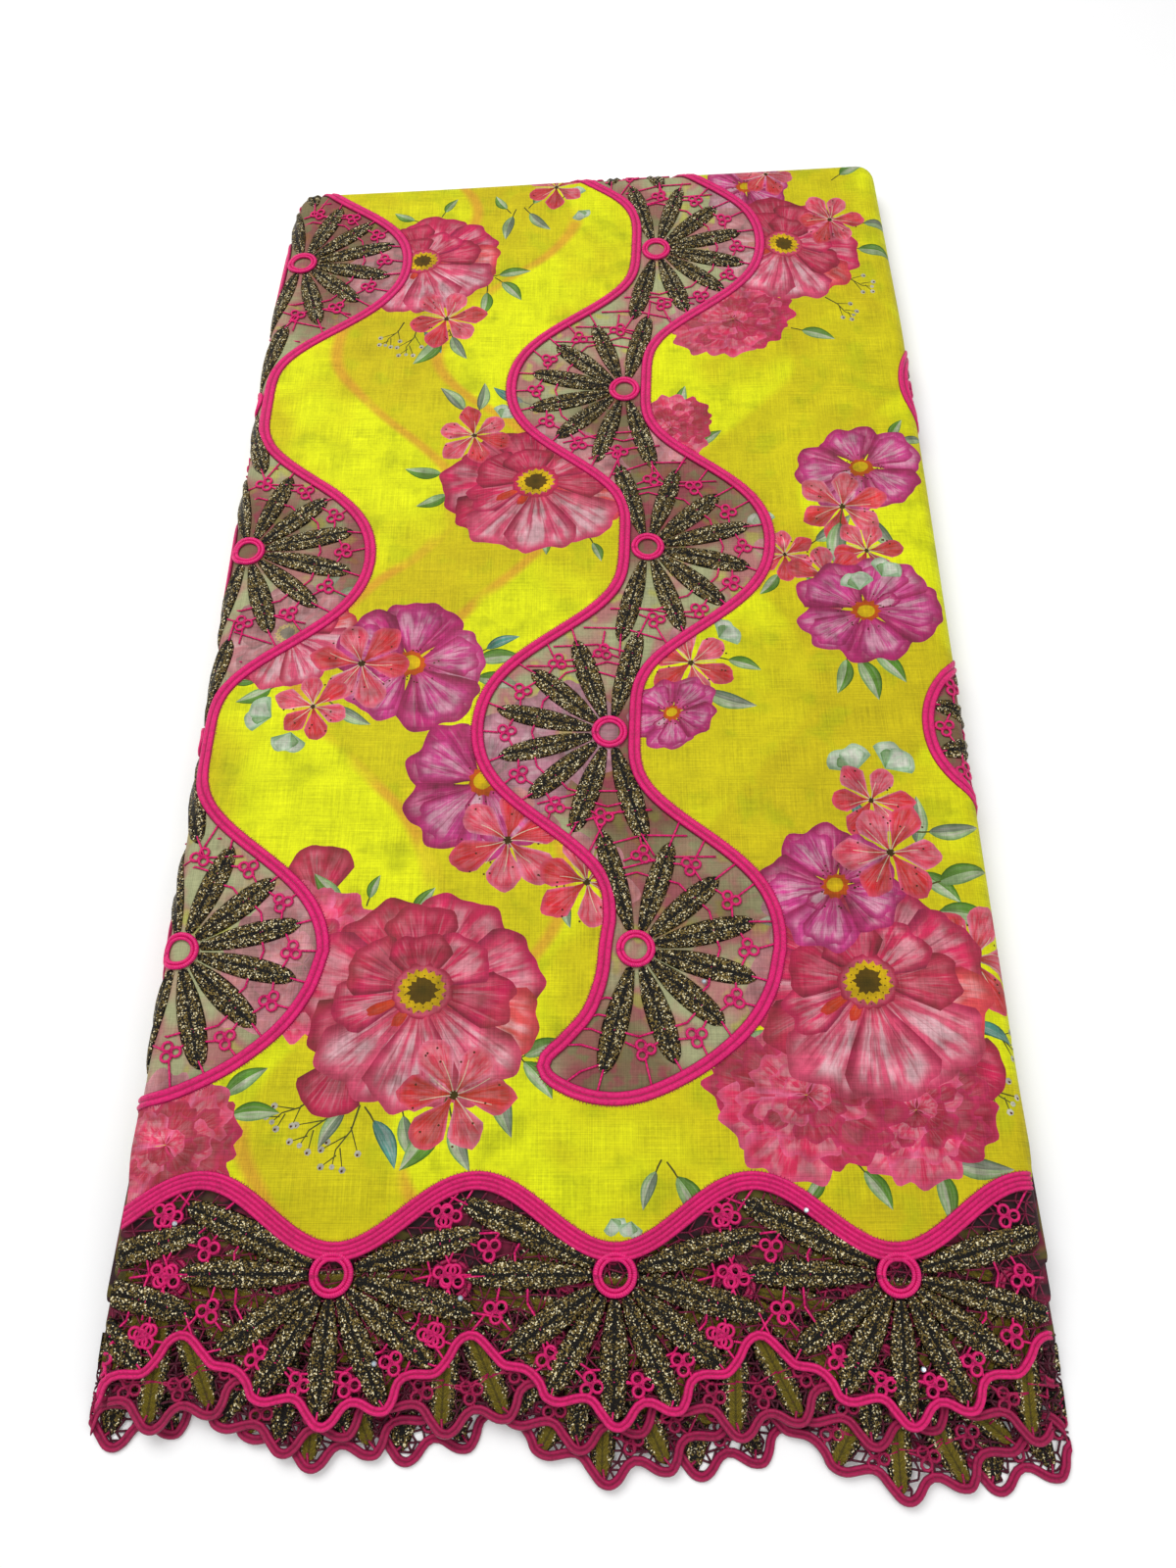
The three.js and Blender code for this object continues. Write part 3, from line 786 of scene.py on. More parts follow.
class Bench:
    """Where the small shapes are modelled with Blender's own operators."""

    # Shares of a petal's length, with its half width and its rise there
    WIDTHS = ((0, 0.12, 0.34, 0.58, 0.8, 0.93, 1), (0.3, 0.56, 0.92, 1, 0.88, 0.58, 0.1))
    RISES = ((0, 0.2, 0.5, 0.85, 1), (0.5, 0.85, 1, 0.8, 0.3))
    GROOVE, LOBE, FLAT = 0.42, 1.15, 0.12

    def clear(self) -> None:
        """Deselects everything."""
        if bpy.context.object and bpy.context.object.mode != "OBJECT":
            bpy.ops.object.mode_set(mode="OBJECT")
        bpy.ops.object.select_all(action="DESELECT")

    def pick(self, test: Callable[[Vector], bool]) -> None:
        """Selects the points of the edited mesh that pass a test.

        Args:
            test: Whether a place is picked.
        """
        bpy.ops.mesh.select_mode(type="VERT")
        bpy.ops.mesh.select_all(action="DESELECT")
        mesh = bmesh.from_edit_mesh(bpy.context.object.data)
        for point in mesh.verts:
            point.select_set(bool(test(point.co)))
        mesh.select_flush(True)
        bmesh.update_edit_mesh(bpy.context.object.data)

    def resize(self, x: float, y: float, z: float) -> None:
        """Scales the picked points about the origin."""
        bpy.ops.transform.resize(value=(x, y, z), center_override=(0, 0, 0))

    def take(self, ridged: bool = False) -> Template:
        """Reads the modelled shape and clears the bench.

        Args:
            ridged: Whether its plan is that of a cord, and not its own x and y.

        Returns:
            The shape as a template.
        """
        if bpy.context.object.mode != "OBJECT":
            bpy.ops.object.mode_set(mode="OBJECT")
        made = bpy.context.object
        points = places(made)
        faces = [tuple(face.vertices) for face in made.data.polygons]
        bpy.data.objects.remove(made)
        plan = points[:, :2]
        if ridged:
            # A cord's second map value is its height share, which the satin darkens low down as painted shade
            share = (points[:, 2] - points[:, 2].min()) / np.ptp(points[:, 2])
            plan = np.stack([3 * np.arctan2(points[:, 1], points[:, 0]), 0.45 + 0.55 * share], axis=1)
        return Template(points, faces, plan)

    def petal(self, sides: int, rings: int) -> Template:
        """A petal of two lobes beside a groove: 1 long, 1 to each side and about 1 high.

        Args:
            sides: Points round its section.
            rings: Sections along it.

        Returns:
            The petal.
        """
        self.clear()
        bpy.ops.mesh.primitive_uv_sphere_add(
            segments=sides, ring_count=rings, radius=1, rotation=(0, QUARTER, 0)
        )
        bpy.ops.object.transform_apply(location=True, rotation=True, scale=True)
        bpy.ops.object.mode_set(mode="EDIT")
        for test, rise in (
            (lambda co: co.z > 0 and abs(co.y) < 0.3 * co.z, self.GROOVE),
            (lambda co: co.z > 0.01 and 0.3 * co.z <= abs(co.y) < 1.2 * co.z, self.LOBE),
            (lambda co: co.z < -0.01, self.FLAT),
        ):
            self.pick(test)
            self.resize(1, 1, rise)
        for ring in range(1, rings):
            at = math.cos(math.pi * ring / rings)
            part = (1 + at) / 2
            round_width = math.sqrt(1 - at * at)
            width, rise = (float(np.interp(part, *row)) / round_width for row in (self.WIDTHS, self.RISES))
            self.pick(lambda co, x=at: abs(co.x - x) < 1e-3)
            self.resize(1, width, rise)
        bpy.ops.mesh.select_all(action="SELECT")
        bpy.ops.transform.translate(value=(1, 0, 0))
        self.resize(0.5, 1, 1)
        return self.take()

    def rings(self, rows: Sequence[tuple[float, float, float, float]], steps: int, sides: int) -> Template:
        """Stitched rings, joined.

        Args:
            rows: Across, along, radius and half thickness of each ring.
            steps: Sections round each ring.
            sides: Points round its section.

        Returns:
            The rings.
        """
        self.clear()
        made = []
        for across, along, radius, half in rows:
            bpy.ops.mesh.primitive_torus_add(
                location=(across, along, 0),
                major_radius=radius,
                minor_radius=half,
                major_segments=steps,
                minor_segments=sides,
            )
            bpy.ops.object.transform_apply(location=True, rotation=True, scale=True)
            made.append(bpy.context.object)
        for ring in made:
            ring.select_set(True)
        bpy.ops.object.join()
        return self.take(True)

    def crystal(self) -> Template:
        """A faceted stone, 1 in radius."""
        self.clear()
        bpy.ops.mesh.primitive_cone_add(vertices=8, radius1=1, radius2=0.62, depth=0.5)
        bpy.ops.object.mode_set(mode="EDIT")
        self.pick(lambda co: co.z < 0)
        bpy.ops.mesh.extrude_region_move(TRANSFORM_OT_translate={"value": (0, 0, -0.25)})
        bpy.ops.transform.resize(value=(0.7, 0.7, 1))
        return self.take()


def ways(line: Points) -> tuple[Points, Points]:
    """The unit ways along a flat line, and those to its right, at each of its points."""
    way = np.gradient(line, axis=0)
    way /= np.maximum(np.linalg.norm(way, axis=1, keepdims=True), LEAST)
    return way, np.stack([way[:, 1], -way[:, 0]], axis=1)


class Batch:
    """Points and faces of one piece, drawn flat, before its mesh is made."""

    # The four corners of a bar's section, and the painted shine of each: the satin darkens the lower corners
    # as painted shade
    BAR_SECTION = np.array([(-1, 0), (0, 1), (1, 0), (0, -1)])
    BAR_PAINTED_LIGHT = (0.8, 1, 0.8, 0.5)

    def __init__(self) -> None:
        """Starts with nothing."""
        self.points: list[Points] = []
        self.plans: list[Points] = []
        self.faces: list[tuple[int, ...]] = []
        self.slots: list[int] = []
        self.count = 0

    def add(self, points: Points, plan: Points, faces: Sequence[Sequence[int]], slot: int) -> None:
        """Adds a shape.

        Args:
            points: Across, along and lift of each point.
            plan: The two map values of each point.
            faces: Its faces, by point.
            slot: The place of its finish among the piece's finishes.
        """
        start = self.count
        self.points.append(points)
        self.plans.append(plan)
        self.faces.extend(tuple(start + k for k in face) for face in faces)
        self.slots.extend([slot] * len(faces))
        self.count += len(points)

    def stamp(
        self, template: Template, at: tuple[float, float], turn: float, lift: float, slot: int,
        size: tuple[float, float, float] = (1, 1, 1),
    ) -> None:
        """Adds a copy of a template.

        Args:
            template: The shape.
            at: Where its origin goes, flat.
            turn: How far it is turned, in radians.
            lift: Its height.
            slot: The place of its finish.
            size: Its scale along, across and up.
        """
        local = template.points * np.array(size)
        cos, sin = math.cos(turn), math.sin(turn)
        across = at[0] + local[:, 0] * cos - local[:, 1] * sin
        along = at[1] + local[:, 0] * sin + local[:, 1] * cos
        points = np.stack([across, along, local[:, 2] + lift], axis=1)
        self.add(points, template.plan, template.faces, slot)

    def sweep(self, line: Points, section: Points, slot: int) -> None:
        """Adds a cord: a closed section swept along a flat line.

        Args:
            line: The flat points of its middle.
            section: Offset to the right of the line and lift, anticlockwise.
            slot: The place of its finish.
        """
        right = ways(line)[1]
        runs = np.concatenate([[0], np.cumsum(np.linalg.norm(np.diff(line, axis=0), axis=1))])
        rows, sides = len(line), len(section)
        flat = line[:, None, :] + right[:, None, :] * section[None, :, 0, None]
        lifts = np.broadcast_to(section[None, :, 1], (rows, sides))
        points = np.concatenate([flat, lifts[:, :, None]], axis=2).reshape(-1, 3)
        # The second map value is the height share, which the satin darkens low down as painted shade
        share = (section[:, 1] - section[:, 1].min()) / float(np.ptp(section[:, 1]))
        plan = np.stack([np.repeat(runs, sides), np.tile(share, rows)], axis=1)
        self.add(points, plan, tube_faces(rows, sides), slot)

    def bars(self, pairs: Points | list, lift: float, half: float, slot: int = 0) -> None:
        """Adds thin stitched bars of four sides between pairs of flat points.

        Args:
            pairs: Where each bar starts and ends.
            lift: The height of their middles.
            half: Half their thickness.
            slot: The place of their finish.
        """
        both = np.array(pairs, float)
        way = both[:, 1] - both[:, 0]
        way /= np.maximum(np.linalg.norm(way, axis=1, keepdims=True), LEAST)
        right = np.stack([way[:, 1], -way[:, 0]], axis=1)
        section = half * self.BAR_SECTION
        flat = both[:, :, None, :] + right[:, None, None, :] * section[None, None, :, :1]
        lifts = np.broadcast_to(lift + section[None, None, :, 1:], (*flat.shape[:3], 1))
        points = np.concatenate([flat, lifts], axis=3).reshape(-1, 3)
        plan = np.tile([(run, shine) for run in (0, 2) for shine in self.BAR_PAINTED_LIGHT], (len(both), 1))
        box = tube_faces(2, 4)
        faces = [tuple(8 * row + k for k in face) for row in range(len(both)) for face in box]
        self.add(points, plan, faces, slot)

    def build(self, name: str, finishes: Sequence[Material]) -> Piece:
        """Makes the flat piece.

        Args:
            name: The piece's name.
            finishes: Its materials, by slot.

        Returns:
            The piece, still flat and in millimetres.
        """
        mesh = bpy.data.meshes.new(name)
        mesh.from_pydata(np.concatenate(self.points).tolist(), [], self.faces)
        loops = np.empty(len(mesh.loops), np.int64)
        mesh.loops.foreach_get("vertex_index", loops)
        plan = np.concatenate(self.plans)[loops]
        mesh.uv_layers.new(name="plan").data.foreach_set("uv", plan.astype(np.float32).ravel())
        for finish in finishes:
            mesh.materials.append(finish)
        mesh.polygons.foreach_set("material_index", np.array(self.slots, np.int32))
        return link(name, mesh)


def tube_faces(rows: int, sides: int) -> list[tuple[int, ...]]:
    """The faces of a closed tube.

    Args:
        rows: Its sections.
        sides: The points of each section.

    Returns:
        Its faces, by point, with the two end caps last.
    """
    faces = []
    for low in range(0, (rows - 1) * sides, sides):
        for k in range(sides):
            j = (k + 1) % sides
            faces.append((low + k, low + j, low + sides + j, low + sides + k))
    faces.append(tuple(reversed(range(sides))))
    faces.append(tuple((rows - 1) * sides + k for k in range(sides)))
    return faces


def trim(piece: Piece, cuts: Sequence[tuple[float, float, float, float]]) -> None:
    """Cuts a flat piece off at straight lines and closes the cuts.

    Args:
        piece: The flat piece.
        cuts: A point of each line, and the way out of the part that stays.
    """
    choose(piece)
    bpy.ops.object.mode_set(mode="EDIT")
    for across, along, out_across, out_along in cuts:
        bpy.ops.mesh.select_all(action="SELECT")
        bpy.ops.mesh.bisect(
            plane_co=(across, along, 0), plane_no=(out_across, out_along, 0), use_fill=True, clear_outer=True
        )
    bpy.ops.mesh.select_all(action="SELECT")
    bpy.ops.mesh.normals_make_consistent(inside=False)
    bpy.ops.object.mode_set(mode="OBJECT")


def lay(piece: Piece, packet: Packet, ply: int = 0) -> None:
    """Lays a flat piece over the packet and smooths its faces.

    Args:
        piece: The flat piece, in millimetres.
        packet: What it is laid on.
        ply: Which ply of the selvedge it is.
    """
    placed = packet.place(*places(piece).T, ply)
    piece.data.vertices.foreach_set("co", placed.ravel())
    smooth(piece)
    piece.data.update()


def smooth_line(points: Points, step: float) -> Points:
    """A rounded line through points.

    Args:
        points: The flat points, in order.
        step: About how far apart the new points are.

    Returns:
        The points of the rounded line.
    """
    points = np.vstack([2 * points[0] - points[1], points, 2 * points[-1] - points[-2]])
    made = []
    for before, start, end, after in zip(points, points[1:], points[2:], points[3:]):
        count = max(1, round(float(np.linalg.norm(end - start)) / step))
        for t in np.arange(count) / count:
            curve = 2 * start + (end - before) * t + (2 * before - 5 * start + 4 * end - after) * t**2
            made.append(0.5 * (curve + (3 * start - before - 3 * end + after) * t**3))
    return np.array([*made, points[-2]])


def inside(points: Points, outline: Points) -> Points:
    """Whether flat points lie inside a closed outline.

    Args:
        points: The points.
        outline: The outline's points, in order.

    Returns:
        A mask, one value for each point.
    """
    x, y = points[:, 0], points[:, 1]
    mask = np.zeros(len(points), bool)
    for (ax, ay), (bx, by) in zip(outline, np.roll(outline, -1, axis=0)):
        if ay != by:
            spans = (ay > y) != (by > y)
            mask ^= spans & (x < (bx - ax) * (y - ay) / (by - ay) + ax)
    return mask


# The lace


class Slot(Enum):
    """The finishes of a lace piece, in order."""

    SATIN = 0
    YARN = 1
    NET = 2


class Ray(NamedTuple):
    """A petal's tip or the middle of its rings: the angle from the fan's opening, and how far out."""

    angle: float
    reach: float


class LinePoint(NamedTuple):
    """A flat point, as of a cord's line."""

    across: float
    along: float


@dataclass(frozen=True)
class Cord:
    """A satin cord: half its width, its ridges and the lifts of its underside, valleys and ridges."""

    half: float
    count: int
    base: float
    low: float
    high: float
    per: int = 6

    def section(self) -> Points:
        """Offset and lift of its section's points, anticlockwise as its line is seen from behind."""
        steps = np.arange(1, self.count * self.per)
        offsets = self.half - steps * 2 * self.half / (self.count * self.per)
        crown = self.low + (self.high - self.low) * np.abs(np.sin(math.pi * steps / self.per)) ** 0.7
        side = [(self.half * 0.8, self.base), (self.half, 0.5 * (self.base + self.low))]
        other = [(-offset, lift) for offset, lift in side[::-1]]
        return np.array([*side, *zip(offsets, crown), *other])[::-1]


BAND_CORD = Cord(3.0, 2, 0.5, 1.25, 2.1)
CREST_CORD = Cord(3.75, 4, 0.4, 1.35, 2.1)
SCALLOP_CORD = Cord(1.8, 2, 0.3, 1.2, 2.0)
LOW_CORD = Cord(1.8, 2, 0.2, 0.9, 1.6)
BAND_PETALS = tuple(Ray(*row) for row in (
    (-105, 57.5), (-72, 53.5), (-42, 51), (-14, 54), (14, 54), (42, 51), (72, 53.5), (105, 57.5),
))
BAND_RINGS = tuple(Ray(*row) for row in (
    (-86, 44.3), (-57, 46), (-28, 47.5), (0, 48.7), (28, 47.5), (57, 46), (86, 44.3),
))
BORDER_PETALS = tuple(Ray(*row) for row in (
    (-114, 66), (-90, 58), (-56, 50), (-30, 49), (-1, 51), (26, 52), (51, 53), (76, 59), (105, 61),
))
BORDER_RINGS = tuple(Ray(*row) for row in (
    (-108, 70.8), (-101, 49.4), (-90, 65), (-74, 47), (-73, 72.8), (-40, 38.7),
    (-13, 39.7), (14, 39.9), (39, 40.1), (62, 46.4), (89, 46.8), (116, 49.2),
))
# The end of a band round its last hub, and one scallop's edge from left to right of its hub
BAND_END = tuple(LinePoint(*row) for row in (
    (55, -16), (46, -31), (32, -44), (16, -54), (0, -60.5), (-14, -61.5),
    (-27, -58), (-36, -51), (-28, -42), (-18, -30), (-12, -14), (-10, 2),
))
LOBES = tuple(LinePoint(*row) for row in (
    (-53, 0), (-46.5, -6), (-42, -10), (-34, -11.5), (-29.5, -15.5), (-27, -20.5), (-21, -23),
    (-11, -21.5), (-6.5, -26), (-2.5, -30.5), (2, -31.5), (6, -29), (9.5, -24), (13, -23),
    (19.5, -26), (25, -25.5), (28, -21), (29.5, -15.5), (33, -13.5), (42, -13), (47.5, -7.5), (51, -1.5),
))
# Bars of a band's end: where each starts along the last petal, and how far left it looks for the cord
END_BARS = ((24, -5), (32, -6), (40, -8), (47, -13), (53, -13))


@dataclass(frozen=True)
class Fan:
    """A fan: its hub, the way that it opens in degrees, its petals and rings, and the cord round it."""

    across: float
    along: float
    facing: float
    petals: Sequence[Ray]
    rings: Sequence[Ray]
    cord: Points
    plain: bool = False

    def at(self, angle: float, radius: float) -> tuple[float, float]:
        """The flat point at an angle from the fan's opening and a distance from its hub."""
        turn = math.radians(self.facing + angle)
        return self.across + radius * math.cos(turn), self.along + radius * math.sin(turn)

    def reach(self, angle: float, past: float) -> float:
        """How far from the hub a ray meets the cord.

        Args:
            angle: The ray's angle from the opening.
            past: The least distance that counts.

        Returns:
            The distance, or infinity where the ray misses the cord.
        """
        turn = math.radians(self.facing + angle)
        way = np.array([math.cos(turn), math.sin(turn)])
        local = self.cord - np.array([self.across, self.along])
        run, side = local @ way, local @ np.array([-way[1], way[0]])
        met = np.nonzero((side[:-1] * side[1:] <= 0) & (run[:-1] > past))[0]
        return float(run[met].min()) if len(met) else math.inf

    def tie(self, angle: float, past: float, limit: float, near: float = 11.0) -> Points:
        """Where a bar ends: on the cord, or between two fans where the cord is too far.

        Args:
            angle: The bar's angle from the opening.
            past: The least distance from the hub.
            limit: The greatest distance from the hub along the bar.
            near: How near a cord beside the bar's end has to be.

        Returns:
            The end's flat point.
        """
        far = self.reach(angle, past)
        end = np.array(self.at(angle, min(far, limit)))
        gaps = np.linalg.norm(self.cord - end, axis=1)
        return self.cord[np.argmin(gaps)] if far > limit and gaps.min() < near else end


@dataclass(frozen=True)
class Band:
    """One snaking lace band."""

    name: str
    centre: float
    lean: float
    crest: float
    hub_lag: float
    ends: bool = True
    near: float = 0.0
    far: float = 664.0
    datum: float = 369.0
    repeat: float = 214.0
    half: float = 31.1
    waves: tuple[float, float, float] = (35.8, 3.1, -2.75)
    hub_offset: float = 7.7
    step: float = 3.0

    def edge(self, side: int, along: Points) -> Points:
        """How far across an edge lies.

        Args:
            side: 1 for the right edge and -1 for the left one.
            along: Places along the band.

        Returns:
            The distance across at each place.
        """
        angle = 2 * math.pi * (along - self.crest) / self.repeat
        middle = self.centre + self.lean * (along - self.datum)
        first, second, third = self.waves
        half = self.half + second * np.cos(2 * angle)
        return middle + side * half + first * np.cos(angle) + third * np.cos(3 * angle)

    def side(self, side: int, along: Points) -> Points:
        """The flat points of an edge at places along the band."""
        return np.stack([self.edge(side, along), along], axis=1)

    def hubs(self) -> list[tuple[float, float, int]]:
        """The hub of each fan from the near end, with 1 where it opens to the right, or else -1."""
        made = []
        for half_repeat in range(-2, 4):
            opens = 1 if half_repeat % 2 == 0 else -1
            along = self.crest + half_repeat * self.repeat / 2 + self.hub_lag
            across = self.centre + self.lean * (along - self.datum) + opens * self.hub_offset
            made.append((across, along, opens))
        return made

    def line(self) -> Points:
        """The outer edge of its cord: down the right side, round the end and up the left."""
        if not self.ends:
            return self.side(-1, np.arange(self.near, self.far, self.step))
        across, along, _ = self.hubs()[0]
        down = self.side(1, np.arange(along, self.far, self.step))[::-1]
        up = self.side(-1, np.arange(along + 4 * self.step, self.far, self.step))
        end = [(across + point.across, along + point.along) for point in BAND_END]
        turn = smooth_line(np.vstack([down[-1:], end, up[:1]]), self.step)
        return np.vstack([down[:-1], turn[:-1], up])

    def middle(self) -> Points:
        """The middle of its cord, which lies inside the edge and so left of a line that turns back."""
        line = self.line()
        return line + BAND_CORD.half * (-1 if self.ends else 1) * ways(line)[1]

    def outline(self) -> Points:
        """The closed outline of its opening in the voile."""
        line = self.middle()
        if self.ends:
            return line
        return np.vstack([line, [self.centre, line[-1][1]], [self.centre, line[0][1]]])


@dataclass(frozen=True)
class Ply:
    """One ply of the scalloped selvedge."""

    name: str
    level: int
    hub: float
    shift: float
    lean: float
    back: float
    half: float
    reverse: bool = False


@dataclass
class LaceMaker:
    """Draws the lace flat, in millimetres, and lays it over the packet."""

    packet: Packet
    petal_root: float = 8.4
    petal_half: float = 5.6
    petal_rise: float = 1.75
    petal_lift: float = 0.55
    hub_lift: float = 1.2
    ring_lift: float = 1.0
    crystal_lift: float = 2.45
    crystal_size: float = 1.1
    crest_line: float = 45.0
    crest_depth: float = 13.3
    crest_hub: float = 13.6
    border_hub: float = 23.4
    scallop: float = 108.5
    bar: float = 0.48
    net_pitch: float = 5.8
    low_pitch: float = 3.9
    beyond: float = 215.0
    seed: int = 11

    def __post_init__(self) -> None:
        """Models the shapes that repeat."""
        bench = Bench()
        self.chance = np.random.default_rng(self.seed)
        self.batch = Batch()
        around = [math.radians(angle) for angle in (90, 210, 330)]
        rows = [(2.5 * math.cos(turn), 2.5 * math.sin(turn), 2.0, 0.68) for turn in around]
        # The shapes of the top ply, and the simpler ones of the plies below
        self.petals = [bench.petal(12, 11), bench.petal(8, 7)]
        self.clusters = [bench.rings(rows, 11, 5), bench.rings(rows, 8, 4)]
        self.eyelet = bench.rings([(0, 0, 7.55, 1.05), (0, 0, 5.75, 0.85)], 28, 7)
        self.crystal = bench.crystal()

    def uneven(self, span: float) -> float:
        """A chance number about 0, at most half the span away."""
        return span * (self.chance.random() - 0.5)

    def fan_bars(self, fan: Fan) -> None:
        """Adds the bars that join a fan's petals, rings and cord.

        Args:
            fan: The fan.
        """
        pairs = []
        for first, last in zip(fan.petals, fan.petals[1:]):
            radius = 33 + 5 * self.chance.random()
            centre = fan.at((first.angle + last.angle) / 2, radius + 1.5)
            pairs += [(fan.at(first.angle, radius), centre), (centre, fan.at(last.angle, radius))]
        for angle, radius in fan.rings:
            far = fan.tie(angle + self.uneven(4), radius, radius + 12)
            pairs.append((fan.at(angle, radius + 4), far))
            for side in (-1, 1):
                pairs.append((fan.at(angle + 4 * side, radius - 1), fan.at(angle + 11 * side, radius - 3)))
        for angle, reach in fan.petals:
            far = fan.tie(angle + self.uneven(6), reach - 6, reach + 9)
            pairs.append((fan.at(angle, reach - 3), far))
        self.batch.bars(pairs, 0.95, self.bar)

    def fan(self, fan: Fan) -> None:
        """Adds one fan: petals, hub, rings and bars.

        Args:
            fan: The fan.
        """
        for angle, reach in fan.petals:
            turn = math.radians(fan.facing + angle + self.uneven(1.6))
            length = (reach - self.petal_root) * (0.97 + 0.06 * self.chance.random())
            wide = self.petal_half * (0.94 + 0.12 * self.chance.random())
            size = (length, wide, self.petal_rise * (0.62 if fan.plain else 1))
            root = fan.at(angle, self.petal_root)
            self.batch.stamp(self.petals[fan.plain], root, turn, self.petal_lift, Slot.YARN.value, size)
        self.batch.stamp(self.eyelet, (fan.across, fan.along), 0, self.hub_lift, Slot.SATIN.value)
        for angle, radius in fan.rings:
            turn = math.radians(fan.facing + angle + self.uneven(30))
            cluster = self.clusters[fan.plain]
            self.batch.stamp(cluster, fan.at(angle, radius), turn, self.ring_lift, Slot.SATIN.value)
        self.fan_bars(fan)

    def band(self, band: Band, finishes: Sequence[Material]) -> Piece:
        """Makes one lace band.

        Args:
            band: Its course and sizes.
            finishes: Its materials, by slot.

        Returns:
            The piece.
        """
        self.batch = Batch()
        line = band.middle()
        self.batch.sweep(line, BAND_CORD.section(), Slot.SATIN.value)
        self.hairs(line, BAND_CORD.half * (-1 if band.ends else 1))
        limit = self.packet.side_end
        for across, along, opens in band.hubs():
            if abs(across) < limit + 60 and along < self.packet.fold_line + 50:
                self.fan(Fan(across, along, 90 - 90 * opens, BAND_PETALS, BAND_RINGS, line))
                self.cusp(band, along + band.repeat / 4, opens)
        cuts = [(limit, 0, 1, 0), (-limit, 0, -1, 0), (0, self.packet.far_end, 0, 1)]
        if band.ends:
            across, along, _ = band.hubs()[0]
            self.end_bars(Fan(across, along, 0, BAND_PETALS, BAND_RINGS, line))
        else:
            cuts += [(0, band.near, 0, -1), (0, band.far, 0, 1)]
        made = self.batch.build(f"{band.name}_lace", finishes)
        trim(made, cuts)
        lay(made, self.packet)
        return made

    def cusp(self, band: Band, along: float, opens: int) -> None:
        """Adds the crossed bars where one fan of a band passes into the next.

        Args:
            band: The band.
            along: Where it passes.
            opens: 1 where the nearer fan opens to the right, or else -1.
        """
        if along > self.packet.fold_line + 20:
            return
        rows = along + np.array([-17, -6, 5, 16])
        starts = band.side(-1, rows) + [4, 0]
        others = band.side(1, rows + opens * 7 + 3 * (self.chance.random(4) - 0.5)) - [4, 0]
        middles = (starts + others) / 2 + [0, 3] + 2 * (self.chance.random((4, 2)) - 0.5)
        self.batch.bars([*zip(starts, middles), *zip(middles, others)], 0.9, self.bar)

    def end_bars(self, fan: Fan) -> None:
        """Adds the bars between a band's last petal and the tip of its end.

        Args:
            fan: The band's last fan.
        """
        pairs = []
        for radius, lean in END_BARS:
            start = np.array(fan.at(fan.petals[0].angle - 5.5 + radius / 17, radius))
            near = fan.cord[np.argmin(np.linalg.norm(fan.cord - start - [lean, -4], axis=1))]
            middle = (start + near) / 2 + [0, 1.5]
            pairs += [(start, middle), (middle, near)]
        self.batch.bars(pairs, 0.9, self.bar)

    def hairs(self, line: Points, offset: float) -> None:
        """Adds the short stitches that hold a cord to the voile.

        Args:
            line: The middle of the cord.
            offset: Where the cord's edge lies, to the right of its line.
        """
        fine = smooth_line(line, 1.1)
        way, right = ways(fine)
        right = right * math.copysign(1, offset)
        lengths = 0.4 + 0.5 * self.chance.random((len(fine), 1))
        lean = way * (self.chance.random((len(fine), 1)) - 0.5) * 0.6
        edge = fine + right * (abs(offset) - 0.3)
        self.batch.bars(np.stack([edge, edge + right * lengths + lean], axis=1), 1.12, 0.16)

    def crest(self) -> Points:
        """The middle of the selvedge's upper cord."""
        across = np.arange(-205, 206, 2.5)
        wave = np.cos(2 * math.pi * (across - self.crest_hub) / self.scallop)
        return np.stack([across, self.crest_line - self.crest_depth * wave], axis=1)

    def scallops(self, ply: Ply) -> Points:
        """The outer edge of a ply's scalloped cord, from left to right.

        Args:
            ply: The ply.

        Returns:
            The flat points.
        """
        points = []
        for repeat in range(-3, 3):
            for lobe in LOBES:
                across = ply.hub + repeat * self.scallop + lobe.across
                if abs(across) < self.beyond:
                    points.append((across, lobe.along + ply.shift + ply.lean * across))
        return smooth_line(np.array(points), 1.8)

    def net(self, outline: Points, pitch: float, half: float, row_share: float = 0.86) -> None:
        """Adds an irregular net of thin bars.

        Args:
            outline: Where it lies.
            pitch: How far apart its knots are.
            half: Half the thickness of its bars.
            row_share: How far apart its rows are, in pitches.
        """
        low, high = outline.min(axis=0), outline.max(axis=0)
        columns = int((high[0] - low[0]) / pitch) + 2
        rows = int((high[1] - low[1]) / (pitch * row_share)) + 2
        row, column = np.mgrid[:rows, :columns]
        grid = np.stack([column + 0.5 * (row % 2), row * row_share], axis=-1)
        spots = low + pitch * (grid + 0.45 * (self.chance.random(grid.shape) - 0.5))
        held = inside(spots.reshape(-1, 2), outline).reshape(rows, columns)
        pairs = []
        for row, column in np.argwhere(held[:-1, :-1]):
            below = column + 1 if row % 2 else column - 1
            ends = [(row, column + 1), (row + 1, column), (row + 1, below)]
            for other in ends[: 2 if (row + column) % 3 else 3]:
                if other[1] >= 0 and held[other]:
                    pairs.append((spots[row, column], spots[other]))
        self.batch.bars(pairs, 0.5, half, Slot.NET.value)

